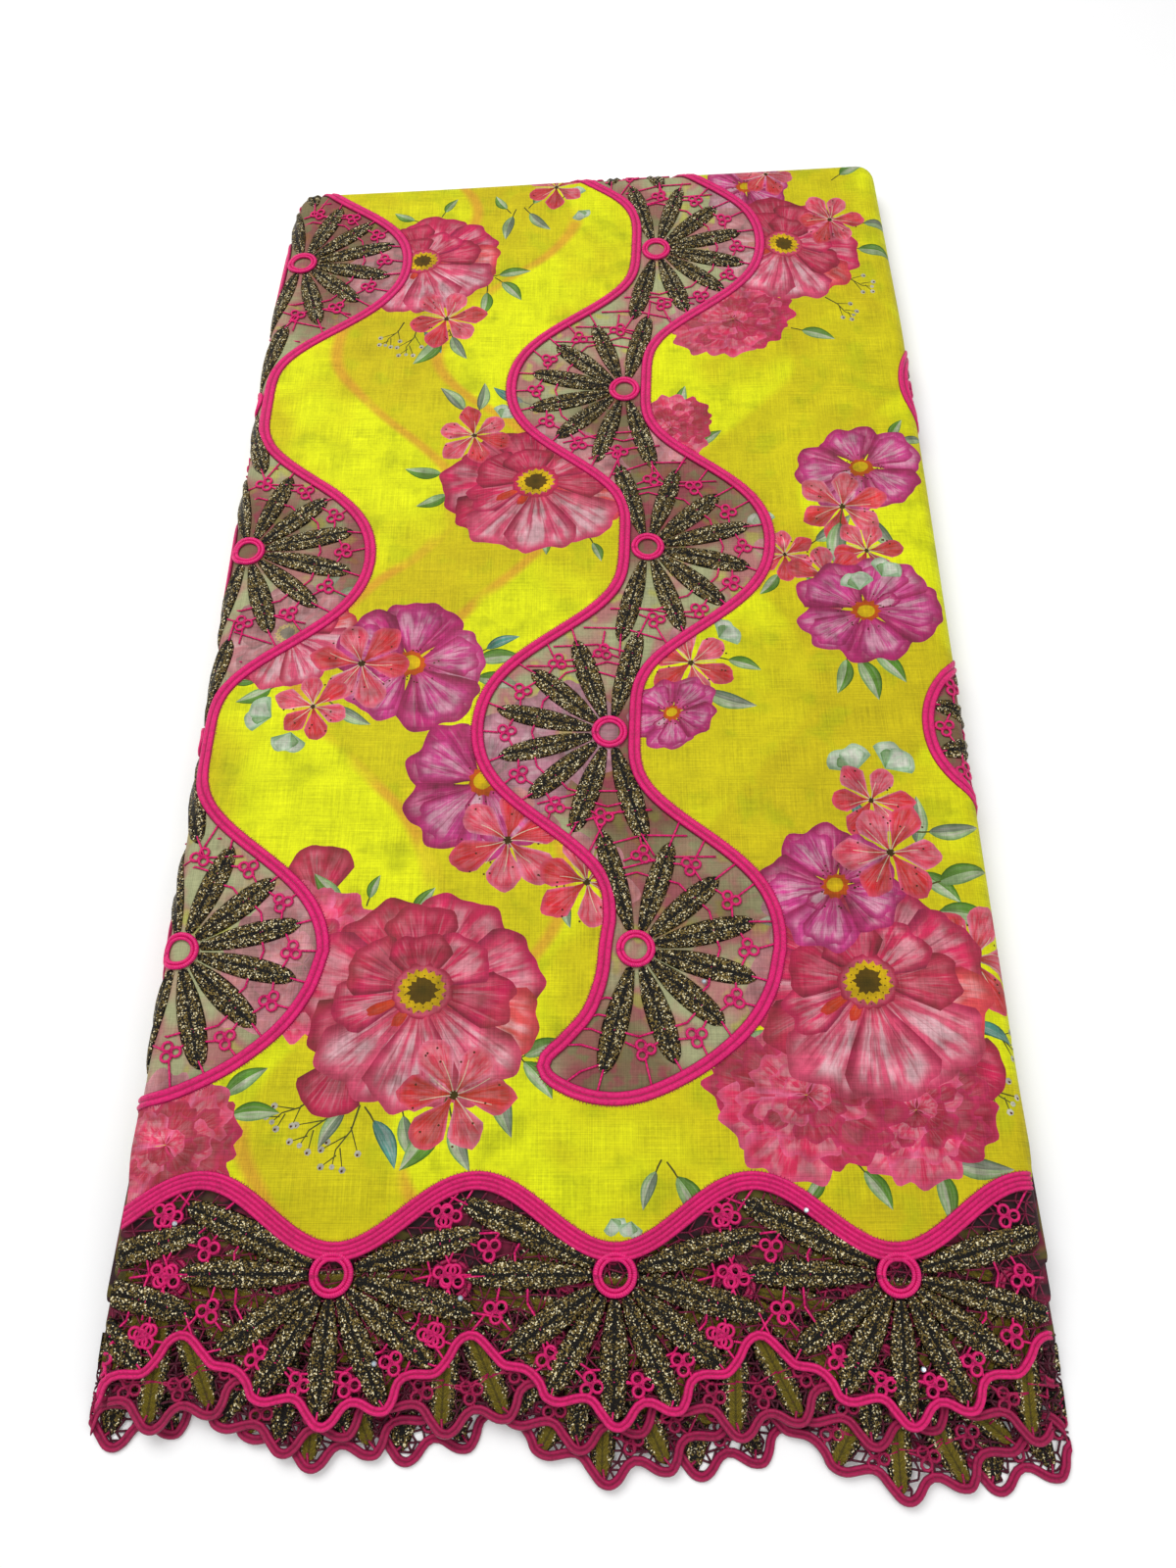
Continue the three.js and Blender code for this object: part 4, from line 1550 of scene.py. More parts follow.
    def selvedge(self, ply: Ply, finishes: Sequence[Material]) -> Piece:
        """Makes one ply of the scalloped selvedge.

        Args:
            ply: Its place and course.
            finishes: Its materials, by slot.

        Returns:
            The piece.
        """
        self.batch = Batch()
        edge = self.scallops(ply)
        middle = edge - SCALLOP_CORD.half * ways(edge)[1]
        low = ply.level > 0
        self.batch.sweep(middle, (LOW_CORD if low else SCALLOP_CORD).section(), Slot.SATIN.value)
        back = np.array([[-210, ply.back], [210, ply.back]])
        half = ply.half
        cuts = [(0, ply.back, 0, 1)]
        if not low:
            back, half, cuts = self.crest(), self.packet.half_at(np.array(0.0)), []
            self.batch.sweep(back, CREST_CORD.section(), Slot.SATIN.value)
            self.hairs(back, -CREST_CORD.half)
        around = np.vstack([middle, back[::-1]])
        for repeat in range(-2, 3):
            across = ply.hub + repeat * self.scallop
            along = self.border_hub + ply.shift + ply.lean * across
            if abs(across) < self.beyond:
                self.fan(Fan(across, along, -90, BORDER_PETALS, BORDER_RINGS, around, low))
        self.net(around, self.low_pitch if low else self.net_pitch, 0.45 if low else 0.34)
        made = self.batch.build(f"{ply.name}_lace", finishes)
        trim(made, [(half, 0, 1, 0), (-half, 0, -1, 0), *cuts])
        lay(made, self.packet, ply.level)
        return made

    def crystals(self, spots: Sequence[LinePoint], finish: Material) -> Piece:
        """Makes the crystals that sit on petals.

        Args:
            spots: Where they sit, flat.
            finish: Their material.

        Returns:
            The piece.
        """
        self.batch = Batch()
        for spot in spots:
            turn = self.chance.random() * math.pi
            self.batch.stamp(self.crystal, spot, turn, self.crystal_lift, 0, (self.crystal_size,) * 3)
        made = self.batch.build("crystals", [finish])
        lay(made, self.packet)
        smooth(made, False)
        return made


# The print


Locate = Callable[[Points], Points]


@dataclass(frozen=True)
class Tint:
    """The inks of one printed shape: at its root, over it and at its edge."""

    heart: Colour
    body: Colour
    rim: Colour
    wash: float = 0.0
    vein: float = 0.0


ROSE = Tint((216, 20, 128), (232, 60, 160), (178, 0, 104), 0.7, 0.9)
ROSE_DEEP = Tint((192, 0, 110), (216, 22, 134), (152, 0, 88), 0.4, 0.9)
PEONY = Tint((200, 0, 74), (240, 18, 106), (160, 0, 84), 0.6, 0.7)
PEONY_PALE = Tint((216, 6, 80), (248, 88, 136), (180, 0, 84), 1.0, 0.8)
PEONY_DEEP = Tint((172, 0, 62), (218, 0, 92), (136, 0, 66), 0.2, 0.6)
PEONY_CORAL = Tint((228, 30, 60), (248, 78, 96), (200, 4, 76), 0.8, 0.6)
RUFFLE = Tint((180, 0, 56), (242, 24, 102), (255, 120, 170), 0.5, 0.4)
RUFFLE_DEEP = Tint((140, 0, 46), (196, 0, 78), (232, 44, 122), 0.15, 0.4)
LILY = Tint((200, 0, 18), (232, 8, 56), (246, 104, 150), 0.2, 0.5)
LILY_PALE = Tint((212, 0, 28), (244, 50, 98), (252, 150, 182), 0.4, 0.5)
LEAF = Tint((58, 116, 34), (92, 156, 48), (50, 104, 36), 0.15, 0.4)
LEAF_PALE = Tint((112, 164, 92), (176, 208, 152), (120, 168, 104), 0.6, 0.3)
LEAF_GREY = Tint((70, 96, 78), (122, 146, 120), (74, 104, 84), 0.3, 0.4)
LEAF_TEAL = Tint((30, 104, 96), (72, 158, 146), (28, 98, 92), 0.4, 0.3)
MINT = Tint((176, 208, 172), (216, 234, 208), (150, 196, 150), 0.5, 0.1)
MINT_DARK = Tint((96, 150, 84), (140, 184, 128), (92, 144, 84), 0.2, 0.2)
GREY_BUD = Tint((168, 172, 148), (206, 206, 186), (140, 146, 122), 0.5, 0.3)
STEM = Tint((84, 84, 36), (84, 84, 36), (84, 84, 36))
DOT = Tint((88, 8, 34), (88, 8, 34), (88, 8, 34))
STAMEN = Tint((248, 214, 188), (248, 214, 188), (248, 214, 188))
DARK_EYE = Tint((52, 10, 12), (64, 10, 14), (90, 14, 18))
HALO = Tint((214, 96, 12), (218, 84, 24), (206, 46, 60))
YELLOW = Tint((244, 206, 12), (240, 196, 14), (214, 150, 12))
BROWN = Tint((70, 48, 6), (92, 62, 8), (120, 84, 10))
CURL = Tint((236, 186, 204), (236, 180, 200), (222, 130, 170))
FLAME = Tint((224, 40, 24), (226, 54, 34), (214, 30, 60), 0.1)


@dataclass(frozen=True)
class Spot:
    """Where a motif is printed: its middle, turn in degrees and how flat it is drawn."""

    across: float
    along: float
    turn: float = 0.0
    squash: float = 1.0

    def plan(self, points: Points) -> Points:
        """Takes a motif's own points to the flat cloth."""
        cos, sin = math.cos(math.radians(self.turn)), math.sin(math.radians(self.turn))
        x, y = points[..., 0], points[..., 1] * self.squash
        return np.stack([self.across + x * cos - y * sin, self.along + x * sin + y * cos], axis=-1)

    def local(self, points: Points) -> Points:
        """Takes flat points to the motif's own ones."""
        cos, sin = math.cos(math.radians(self.turn)), math.sin(math.radians(self.turn))
        dx, dy = points[..., 0] - self.across, points[..., 1] - self.along
        return np.stack([dx * cos + dy * sin, (dy * cos - dx * sin) / self.squash], axis=-1)


@dataclass(frozen=True)
class Ink:
    """One printed shape: its outline, its map and its inks."""

    outline: Points
    locate: Locate
    tint: Tint
    seed: float
    cores: Points | None = None


@dataclass(frozen=True)
class PetalCut:
    """The cut of a printed petal, from a motif's middle."""

    turn: float
    reach: float
    half: float
    waist: float = 0.45
    ruffle: float = 0.04
    waves: float = 3.0
    notch: float = 0.0
    point: float = 0.0


def anticlockwise(loop: Points) -> Points:
    """The loop, turned round if it runs clockwise."""
    after = np.roll(loop, -1, axis=0)
    area = float((loop[:, 0] * after[:, 1] - after[:, 0] * loop[:, 1]).sum())
    return loop if area > 0 else loop[::-1]


class Drawing:
    """The print, drawn flat from back to front."""

    # Turn, reach and half angle of a lily's petals
    LILY_ROWS = ((0, 1, 24), (120, 1.02, 25), (240, 1, 25), (62, 0.9, 27), (182, 0.92, 27), (300, 0.9, 27))
    # Turn, reach, half angle and inks of an open peony's petals, from the back
    PEONY_ROWS = (
        (62, 1.0, 34, PEONY), (124, 0.96, 36, PEONY_DEEP), (10, 1.04, 34, PEONY), (176, 1.06, 36, PEONY),
        (214, 1.04, 30, PEONY_DEEP), (-30, 1.08, 32, PEONY_CORAL), (92, 0.86, 28, PEONY_DEEP),
        (-126, 1.1, 31, PEONY_PALE), (-56, 1.14, 29, PEONY_PALE), (-92, 1.12, 27, PEONY_PALE),
        (-8, 0.8, 26, PEONY_DEEP), (196, 0.78, 24, PEONY), (148, 0.7, 34, PEONY_DEEP),
        (40, 0.66, 34, PEONY), (96, 0.56, 40, PEONY_DEEP),
    )
    # Reach, count and half angle of the petals in each ring of a full peony
    RUFFLE_ROWS = ((1.0, 7, 36), (0.8, 6, 34), (0.6, 5, 38), (0.42, 4, 46), (0.25, 3, 60))
    # Where a sprig's twigs start, and their turn and length
    TWIGS = ((0.35, 42, 0.4), (0.5, -38, 0.38), (0.7, 34, 0.3), (0.82, -30, 0.24))

    def __init__(self, seed: int) -> None:
        """Starts with no shapes.

        Args:
            seed: What the unevenness is drawn from.
        """
        self.chance = np.random.default_rng(seed)
        self.inks: list[Ink] = []

    def uneven(self, span: float) -> float:
        """A chance number about 0, at most half the span away."""
        return span * (self.chance.random() - 0.5)

    def add(self, outline: Points, locate: Locate, tint: Tint, core: Points | None = None) -> None:
        """Adds a shape on top of those that are there."""
        self.inks.append(Ink(anticlockwise(outline), locate, tint, float(self.chance.random()), core))

    def petal(self, spot: Spot, cut: PetalCut, tint: Tint) -> None:
        """Draws a petal.

        Args:
            spot: The motif that it belongs to.
            cut: Its shape.
            tint: Its inks.
        """
        half = math.radians(cut.half)
        turn = math.radians(cut.turn)
        phase = self.chance.random() * 6
        count = max(9, round(cut.reach * half / 0.9))
        rows = max(4, round(cut.reach / 5))

        def rim(v: Points) -> Points:
            """How far out the petal's edge lies."""
            wave = np.sin(v * cut.waves * math.pi + phase) + 0.3 * np.sin(v * 16 + 2 * phase)
            dent = cut.notch * np.exp(-((v / 0.22) ** 2))
            tip = cut.point * (1 - np.abs(v)) ** 1.4
            return cut.reach * (1 - 0.2 * np.abs(v) ** 2.6 + cut.ruffle * wave - dent + tip)

        def spread(u: Points) -> Points:
            """Half the petal's angle at a share of its reach."""
            return half * (cut.waist + (1 - cut.waist) * np.sin(np.clip(u * 1.25, 0, 1) * QUARTER))

        def polar(u: Points, v: Points) -> Points:
            """The motif's own point at a share out and a share across."""
            reach, angle = u * rim(v), turn + v * spread(u)
            return np.stack([reach * np.cos(angle), reach * np.sin(angle)], axis=-1)

        def locate(points: Points) -> Points:
            """The shares out and across of flat points."""
            own = spot.local(points)
            radius = np.hypot(own[:, 0], own[:, 1])
            angle = (np.arctan2(own[:, 1], own[:, 0]) - turn + math.pi) % (2 * math.pi) - math.pi
            u = np.clip(radius / cut.reach, 0, 1)
            for _ in range(6):
                v = np.clip(angle / np.maximum(spread(u), 1e-6), -1, 1)
                u = np.clip(radius / rim(v), 0, 1)
            return np.stack([u, v], axis=1)

        up = np.linspace(0.02, 1, rows)[:-1]
        side = np.ones(rows - 1)
        arc = np.linspace(-1, 1, count)
        sides = [polar(up, -side), polar(np.ones(count), arc), polar(up[::-1], side)]
        self.add(spot.plan(np.vstack(sides)), locate, tint)

    def disc(
        self, spot: Spot, at: tuple[float, float], radius: float, tint: Tint, spikes: int = 0,
        rough: float = 0.0,
    ) -> None:
        """Draws a round shape with a smooth, rough or spiked edge.

        Args:
            spot: The motif that it belongs to.
            at: Its middle, from the motif's.
            radius: Its radius.
            tint: Its inks.
            spikes: How many spikes, if any.
            rough: How uneven its edge is.
        """
        count = 2 * spikes if spikes else max(6, round(radius * 3.2))
        angles = np.arange(count) * 2 * math.pi / count
        reach = radius * (1 + rough * (self.chance.random(count) - 0.5))
        if spikes:
            reach = reach * np.where(np.arange(count) % 2, 0.86, 1.06)
        points = np.stack([at[0] + reach * np.cos(angles), at[1] + reach * np.sin(angles)], axis=1)

        def locate(points: Points) -> Points:
            """The shares out and across of flat points."""
            own = spot.local(points) - np.array(at)
            share = np.clip(np.hypot(own[:, 0], own[:, 1]) / radius, 0, 1)
            return np.stack([share, np.zeros(len(own))], axis=1)

        core = spot.plan(np.array([at])) if radius > 2 else None
        self.add(spot.plan(points), locate, tint, core)

    def dot(self, spot: Spot, turn: float, reach: float, radius: float, tint: Tint = DOT) -> None:
        """Draws a dot at a turn, in radians, and a reach from a motif's middle."""
        self.disc(spot, (reach * math.cos(turn), reach * math.sin(turn)), radius, tint)

    def freckles(self, spot: Spot, count: int, near: float, span: float, radius: float) -> None:
        """Scatters dark dots round a motif's middle, from a distance over a span."""
        for _ in range(count):
            turn = self.chance.random() * 2 * math.pi
            self.dot(spot, turn, near + span * self.chance.random(), radius)

    def stroke(self, spot: Spot, line: Points | list, widths: Points | list, tint: Tint = STEM) -> None:
        """Draws a tapering stroke along a line of the motif's own points.

        Args:
            spot: The motif that it belongs to.
            line: Its points.
            widths: Its width at each.
            tint: Its ink.
        """
        line = np.array(line)
        side = ways(line)[1] * np.asarray(widths)[:, None] / -2
        outline = np.vstack([line + side, (line - side)[::-1]])
        self.add(spot.plan(outline), lambda points: np.zeros((len(points), 2)) + 0.3, tint)

    def leaf(self, spot: Spot, length: float, width: float, bend: float, tints: tuple[Tint, Tint]) -> None:
        """Draws a leaf of two halves beside its midrib, with a short stalk.

        Args:
            spot: Its root and the way that it points.
            length: Its length.
            width: Its width.
            bend: How far its middle is bent aside.
            tints: The inks of its two halves.
        """
        def spine(u: Points) -> Points:
            """How far the midrib is bent aside."""
            return bend * 4 * u * (1 - u)

        def half(u: Points) -> Points:
            """Half the leaf's width."""
            return width / 2 * np.sin(math.pi * np.clip(u, 0, 1) ** 0.8) ** 0.9

        u = np.linspace(0, 1, 10)
        middle = np.stack([u * length, spine(u)], axis=1)
        for side, tint in zip((1, -1), tints):
            edge = middle + np.stack([np.zeros(10), side * half(u)], axis=1)

            def locate(points: Points, side: int = side) -> Points:
                """The shares along and out of flat points."""
                own = spot.local(points)
                share = np.clip(own[:, 0] / length, 0, 1)
                off = side * (own[:, 1] - spine(share)) / np.maximum(half(share), 0.3)
                return np.stack([0.25 + 0.6 * share, np.clip(off, 0, 1)], axis=1)

            self.add(spot.plan(np.vstack([middle[:-1], edge[1:][::-1]])), locate, tint)
        stalk = [[-length * 0.3, -bend * 0.6], [-length * 0.1, -bend * 0.1], [length * 0.04, 0]]
        self.stroke(spot, stalk, [0.7, 0.8, 0.6])

    def lone_petal(self, spot: Spot, size: float) -> None:
        """Draws a dark petal that has no flower."""
        self.petal(spot, PetalCut(0, size, 36, 0.7, 0.02, 2.0), PEONY_DEEP)

    def bud(self, spot: Spot, size: float) -> None:
        """Draws a pale round bud with a darker fold.

        Args:
            spot: Its middle and turn.
            size: Its size.
        """
        self.petal(spot, PetalCut(0, size * 1.7, 62, 0.9, 0.02, 2, 0.16), MINT)
        self.petal(spot, PetalCut(24, size * 1.15, 26, 0.7, 0.02, 2), MINT_DARK)
        self.petal(spot, PetalCut(-16, size * 1.5, 36, 0.8, 0.02, 2), MINT)

    def sprig(self, spot: Spot, size: float) -> None:
        """Draws a thin branching sprig with tiny buds.

        Args:
            spot: Its middle and turn.
            size: Its length.
        """
        stem = [[0, 0], [size * 0.4, size * 0.06], [size * 0.75, -size * 0.02], [size, size * 0.05]]
        self.stroke(spot, stem, [0.9, 0.7, 0.6, 0.4])
        for share, turn, reach in self.TWIGS:
            start = np.array([size * share, size * 0.03])
            way = np.array([math.cos(math.radians(turn)), math.sin(math.radians(turn))])
            self.stroke(spot, [start, start + way * size * reach], [0.6, 0.4])
            tip = start + way * size * (reach + 0.04)
            self.disc(spot, (tip[0], tip[1]), 1.5, GREY_BUD)
            self.disc(spot, (tip[0] + 0.5, tip[1]), 0.55, DOT)
        self.disc(spot, (size, size * 0.05), 1.2, GREY_BUD)

    def lily(self, spot: Spot, size: float) -> None:
        """Draws a lily: six petals, pale stamens and dark freckles.

        Args:
            spot: Its middle and turn.
            size: The reach of its petals.
        """
        for k, (turn, reach, half) in enumerate(self.LILY_ROWS):
            cut = PetalCut(turn + self.uneven(10), size * reach, half, 0.35, 0.02, 2.0, 0, 0.12)
            self.petal(spot, cut, LILY_PALE if k % 2 else LILY)
        self.disc(spot, (0, 0), size * 0.09, DARK_EYE, 5)
        for k in range(7):
            turn = math.radians(-60 + 40 * k + 20 * self.chance.random())
            way = np.array([math.cos(turn), math.sin(turn)])
            bow = np.array([-way[1], way[0]]) * size * self.uneven(0.08)
            part = np.linspace(0.1, 1, 6)[:, None]
            line = way * part * size * (0.5 + 0.25 * self.chance.random()) + bow * np.sin(math.pi * part)
            self.stroke(spot, line, np.linspace(0.5, 0.3, 6), STAMEN)
        self.freckles(spot, max(6, round(size * 0.6)), size * 0.5, size * 0.42, 0.55)

    def wild_rose(self, spot: Spot, size: float) -> None:
        """Draws a wild rose: five wide ruffled petals round a yellow button.

        Args:
            spot: Its middle and turn.
            size: The reach of its petals.
        """
        for k, turn in enumerate((90, 18, 162, 234, 306)):
            turn += self.uneven(12)
            reach = size * (0.93 + 0.16 * self.chance.random())
            self.petal(spot, PetalCut(turn, reach, 41, 0.55, 0.035, 2.6, 0.05), ROSE if k % 2 else ROSE_DEEP)
            self.petal(spot, PetalCut(turn + 6, reach * 0.9, 27, 0.5, 0.03, 3.0), ROSE)
        self.petal(spot, PetalCut(200, size * 0.5, 22, 0.5, 0.03, 2.0), ROSE_DEEP)
        self.petal(spot, PetalCut(196, size * 0.42, 12, 0.5, 0.02, 2.0), CURL)
        self.disc(spot, (0, 0), size * 0.2, HALO, 11, 0.2)
        self.disc(spot, (0, 0.6), size * 0.12, YELLOW, 0, 0.1)
        self.freckles(spot, 22, size * 0.2, size * 0.17, 0.5)

    def ring_peony(self, spot: Spot, size: float) -> None:
        """Draws an open peony: loose rows of petals, long ones below, and a dark disc in yellow stamens.

        Args:
            spot: Its middle and turn.
            size: The reach of its longest petals.
        """
        for turn, reach, half, tint in self.PEONY_ROWS:
            self.petal(spot, PetalCut(turn + self.uneven(6), size * reach, half, 0.5, 0.03, 2.2, 0.03), tint)
        self.petal(spot, PetalCut(205, size * 0.5, 8, 0.4, 0.02, 2.0), FLAME)
        self.petal(spot, PetalCut(236, size * 0.4, 9, 0.3, 0.02, 2.0), FLAME)
        self.disc(spot, (0, 0), size * 0.26, PEONY_DEEP, 0, 0.15)
        self.disc(spot, (0, 0), size * 0.205, YELLOW, 17, 0.1)
        self.disc(spot, (0, 0.3), size * 0.125, BROWN, 13, 0.25)
        for k in range(26):
            turn = 2 * math.pi * k / 26 + 0.1 * self.chance.random()
            self.dot(spot, turn, size * (0.145 + 0.05 * (k % 2) + 0.015 * self.chance.random()), 0.4, BROWN)

    def ruffled_peony(self, spot: Spot, size: float) -> None:
        """Draws a full peony: rows of ruffled petals that close towards its middle.

        Args:
            spot: Its middle and turn.
            size: The reach of its outer petals.
        """
        for ring, (reach, count, half) in enumerate(self.RUFFLE_ROWS):
            for k in range(count):
                turn = 360 * (k + 0.5 * (ring % 2)) / count + self.uneven(14)
                far = size * reach * (0.92 + 0.16 * self.chance.random())
                tint = RUFFLE if (k + ring) % 3 else RUFFLE_DEEP
                self.petal(spot, PetalCut(turn, far, half, 0.4, 0.05, 3.2, 0.02), tint)
                if k % 3 == 0 and ring < 3:
                    cut = PetalCut(turn + self.uneven(8), far * 0.93, half * 0.45, 0.3, 0.04, 2.5)
                    self.petal(spot, cut, RUFFLE_DEEP)


class Motif(Enum):
    """What is printed at a place."""

    RING_PEONY = "ring peony"
    RUFFLED_PEONY = "ruffled peony"
    WILD_ROSE = "wild rose"
    LILY = "lily"
    LONE_PETAL = "lone petal"
    LEAF = "green leaf"
    LEAF_GREY = "grey leaf"
    LEAF_TEAL = "teal leaf"
    BUD = "bud"
    SPRIG = "sprig"


class Printed(NamedTuple):
    """One motif of the print: what, where, its size, its turn and how flat it is drawn."""

    motif: Motif
    across: float
    along: float
    size: float
    turn: float = 0.0
    squash: float = 1.0


# Where each motif is printed, from the back
PRINT = tuple(Printed(motif, *row) for motif, rows in (
    (Motif.LEAF, (
        (-52, 566, 19, 8), (-50, 560, 19, -50), (-58, 552, 18, -96), (-106, 616, 15, 150),
        (-88, 622, 14, 60),
    )),
    (Motif.SPRIG, ((-104, 530, 20, -120), (-96, 528, 24, -105))),
    (Motif.LEAF_TEAL, ((-92, 522, 20, -58),)),
    (Motif.RING_PEONY, ((-98, 580, 44, 20, 0.86),)),
    (Motif.LEAF, ((-82, 516, 24, -128),)),
    (Motif.LEAF_GREY, ((-76, 518, 20, -62),)),
    (Motif.LILY, ((-80, 532, 21, 10),)),
    (Motif.LEAF, ((-50, 622, 15, 120),)),
    (Motif.LEAF_GREY, ((-46, 616, 20, -100), (-36, 618, 20, -48))),
    (Motif.LEAF, ((-34, 626, 16, 50),)),
    (Motif.BUD, ((-8, 630, 6, 100), (-6, 618, 5, -60))),
    (Motif.LILY, ((-20, 640, 18, 30),)),
    (Motif.LEAF, ((158, 638, 22, 30),)),
    (Motif.LEAF_GREY, ((168, 598, 22, 6),)),
    (Motif.LEAF, ((162, 578, 22, -16),)),
    (Motif.SPRIG, ((146, 556, 22, -24), (138, 540, 20, -44))),
    (Motif.LEAF, ((122, 516, 20, -20),)),
    (Motif.RUFFLED_PEONY, ((84, 526, 36, 15, 0.8),)),
    (Motif.WILD_ROSE, ((98, 632, 28, 0, 0.85),)),
    (Motif.RING_PEONY, ((118, 584, 45, -25, 0.85),)),
    (Motif.LILY, ((112, 642, 17, 50), (148, 602, 19, 0))),
    (Motif.LEAF, ((-76, 418, 20, 170), (-72, 404, 18, 205))),
    (Motif.LEAF_GREY, ((-66, 462, 22, 130), (-58, 462, 20, 84))),
    (Motif.LEAF_TEAL, ((-34, 468, 20, 148),)),
    (Motif.BUD, ((-46, 456, 6, 60),)),
    (Motif.LEAF, ((-22, 378, 14, -80), (4, 372, 13, -70))),
    (Motif.RING_PEONY, ((-26, 412, 48, 8, 0.85),)),
    (Motif.LILY, ((-60, 444, 19, 100),)),
    (Motif.LEAF, ((52, 462, 16, 80), (62, 436, 15, 40))),
    (Motif.RUFFLED_PEONY, ((46, 448, 24, 40, 0.9),)),
    (Motif.LEAF, ((164, 438, 15, 60),)),
    (Motif.LEAF_GREY, ((168, 436, 16, 20),)),
    (Motif.WILD_ROSE, ((146, 419, 34, 12, 0.85),)),
    (Motif.LEAF_GREY, ((148, 386, 24, -60), (118, 372, 26, 40))),
    (Motif.LEAF_TEAL, ((128, 372, 18, -90),)),
    (Motif.LEAF, ((98, 352, 16, -130), (112, 350, 16, -60))),
    (Motif.LILY, ((134, 394, 22, 20),)),
    (Motif.LEAF_GREY, ((132, 384, 30, -96),)),
    (Motif.BUD, ((92, 382, 6, 100),)),
    (Motif.LILY, ((102, 364, 15, 30), (144, 366, 17, 5), (122, 350, 19, 160))),
    (Motif.LEAF, ((134, 302, 24, -72), (128, 302, 20, -108), (142, 306, 22, -52))),
    (Motif.WILD_ROSE, ((140, 330, 38, 190, 0.8),)),
    (Motif.BUD, ((138, 342, 7, 100), (150, 350, 7, 60))),
    (Motif.LEAF, ((-128, 346, 15, 70), (-124, 340, 14, 20))),
    (Motif.LEAF_GREY, ((-112, 312, 26, 160),)),
    (Motif.LEAF, ((-156, 292, 18, 180), (-150, 286, 18, 205))),
    (Motif.LEAF_GREY, ((-134, 296, 24, 188), (-118, 276, 20, -30))),
    (Motif.LEAF, ((-52, 302, 22, 4), (-52, 292, 22, -14))),
    (Motif.LEAF_TEAL, ((-48, 308, 18, 24),)),
    (Motif.RING_PEONY, ((-146, 318, 32, 30, 0.9),)),
    (Motif.BUD, ((-148, 270, 8, 160), (-138, 262, 7, -100))),
    (Motif.WILD_ROSE, ((-84, 300, 38, -8, 0.95),)),
    (Motif.LILY, ((-108, 300, 23, 170), (-129, 276, 17, 40))),
    (Motif.LEAF, ((70, 302, 17, -20),)),
    (Motif.LEAF_GREY, ((58, 284, 26, -18),)),
    (Motif.BUD, ((66, 314, 7, 40),)),
    (Motif.LILY, ((52, 300, 20, -20),)),
    (Motif.WILD_ROSE, ((42, 272, 24, 30, 0.8),)),
    (Motif.LEAF, ((-8, 276, 16, 60),)),
    (Motif.WILD_ROSE, ((-8, 262, 30, 80, 0.9),)),
    (Motif.LEAF_GREY, ((-8, 180, 16, -80),)),
    (Motif.WILD_ROSE, ((-46, 236, 38, 60, 0.95),)),
    (Motif.LILY, ((-34, 206, 25, 200), (2, 186, 22, -20))),
    (Motif.LONE_PETAL, ((-116, 172, 32, 92),)),
    (Motif.LEAF, (
        (-106, 178, 18, 138), (-94, 178, 12, 70), (-74, 170, 16, 56), (-24, 108, 18, 22),
        (-24, 106, 20, -52),
    )),
    (Motif.LEAF_GREY, ((-34, 100, 26, -76),)),
    (Motif.SPRIG, ((-96, 92, 26, -132), (-90, 88, 26, -112), (-108, 92, 20, -150))),
    (Motif.LEAF_GREY, ((-96, 86, 18, -120),)),
    (Motif.LEAF_TEAL, ((-84, 82, 22, -62),)),
    (Motif.LEAF_GREY, ((-72, 84, 20, -70),)),
    (Motif.LONE_PETAL, ((-96, 112, 30, -112),)),
    (Motif.RUFFLED_PEONY, ((-120, 148, 38, 0, 0.95),)),
    (Motif.RING_PEONY, ((-68, 136, 50, 0, 0.92),)),
    (Motif.LEAF, ((-58, 84, 26, -122),)),
    (Motif.LEAF_GREY, ((-52, 82, 22, -68),)),
    (Motif.LILY, ((-52, 92, 23, -6),)),
    (Motif.LEAF, ((-146, 92, 20, 34), (-142, 84, 20, 2))),
    (Motif.RUFFLED_PEONY, ((-166, 72, 31, 10, 1.0),)),
    (Motif.LONE_PETAL, ((-176, 42, 20, -90),)),
    (Motif.BUD, ((126, 240, 9, 110), (140, 242, 9, 50))),
    (Motif.LEAF_GREY, ((150, 204, 24, 84), (156, 210, 24, 8))),
    (Motif.LEAF, ((150, 190, 22, -40), (158, 186, 24, 14), (156, 172, 26, -12))),
    (Motif.LEAF_GREY, ((96, 166, 20, 176),)),
    (Motif.LEAF, ((98, 158, 20, 214),)),
    (Motif.LEAF_TEAL, ((130, 212, 18, 110),)),
    (Motif.SPRIG, ((166, 118, 20, -22), (160, 104, 22, -48))),
    (Motif.LEAF_TEAL, ((164, 122, 18, -30),)),
    (Motif.LEAF, ((80, 118, 20, 196),)),
    (Motif.LEAF_GREY, ((146, 66, 26, -8),)),
    (Motif.LEAF, ((142, 62, 20, -84), (112, 62, 18, -56), (96, 60, 14, -130))),
    (Motif.LILY, ((132, 226, 18, 0),)),
    (Motif.LONE_PETAL, ((142, 110, 34, -24),)),
    (Motif.LILY, ((168, 150, 24, -60),)),
    (Motif.RUFFLED_PEONY, ((136, 86, 34, 25, 0.85), (92, 92, 40, 0, 0.85))),
    (Motif.RING_PEONY, ((122, 140, 50, 10, 0.92),)),
    (Motif.WILD_ROSE, ((112, 184, 32, 20, 0.9),)),
    (Motif.LILY, ((138, 200, 23, 60),)),
    (Motif.LEAF, ((38, 60, 22, -62),)),
    (Motif.LEAF_GREY, ((30, 62, 16, -110),)),
    (Motif.BUD, ((12, 44, 4, -60), (20, 43, 4, -100))),
) for row in rows)


# Width and bend, in shares of the length, and the inks of each kind of leaf
LEAVES = {
    Motif.LEAF: (0.4, 0.06, (LEAF, LEAF_PALE)),
    Motif.LEAF_GREY: (0.34, -0.06, (LEAF_GREY, LEAF_PALE)),
    Motif.LEAF_TEAL: (0.32, 0.08, (LEAF_TEAL, LEAF_TEAL)),
}


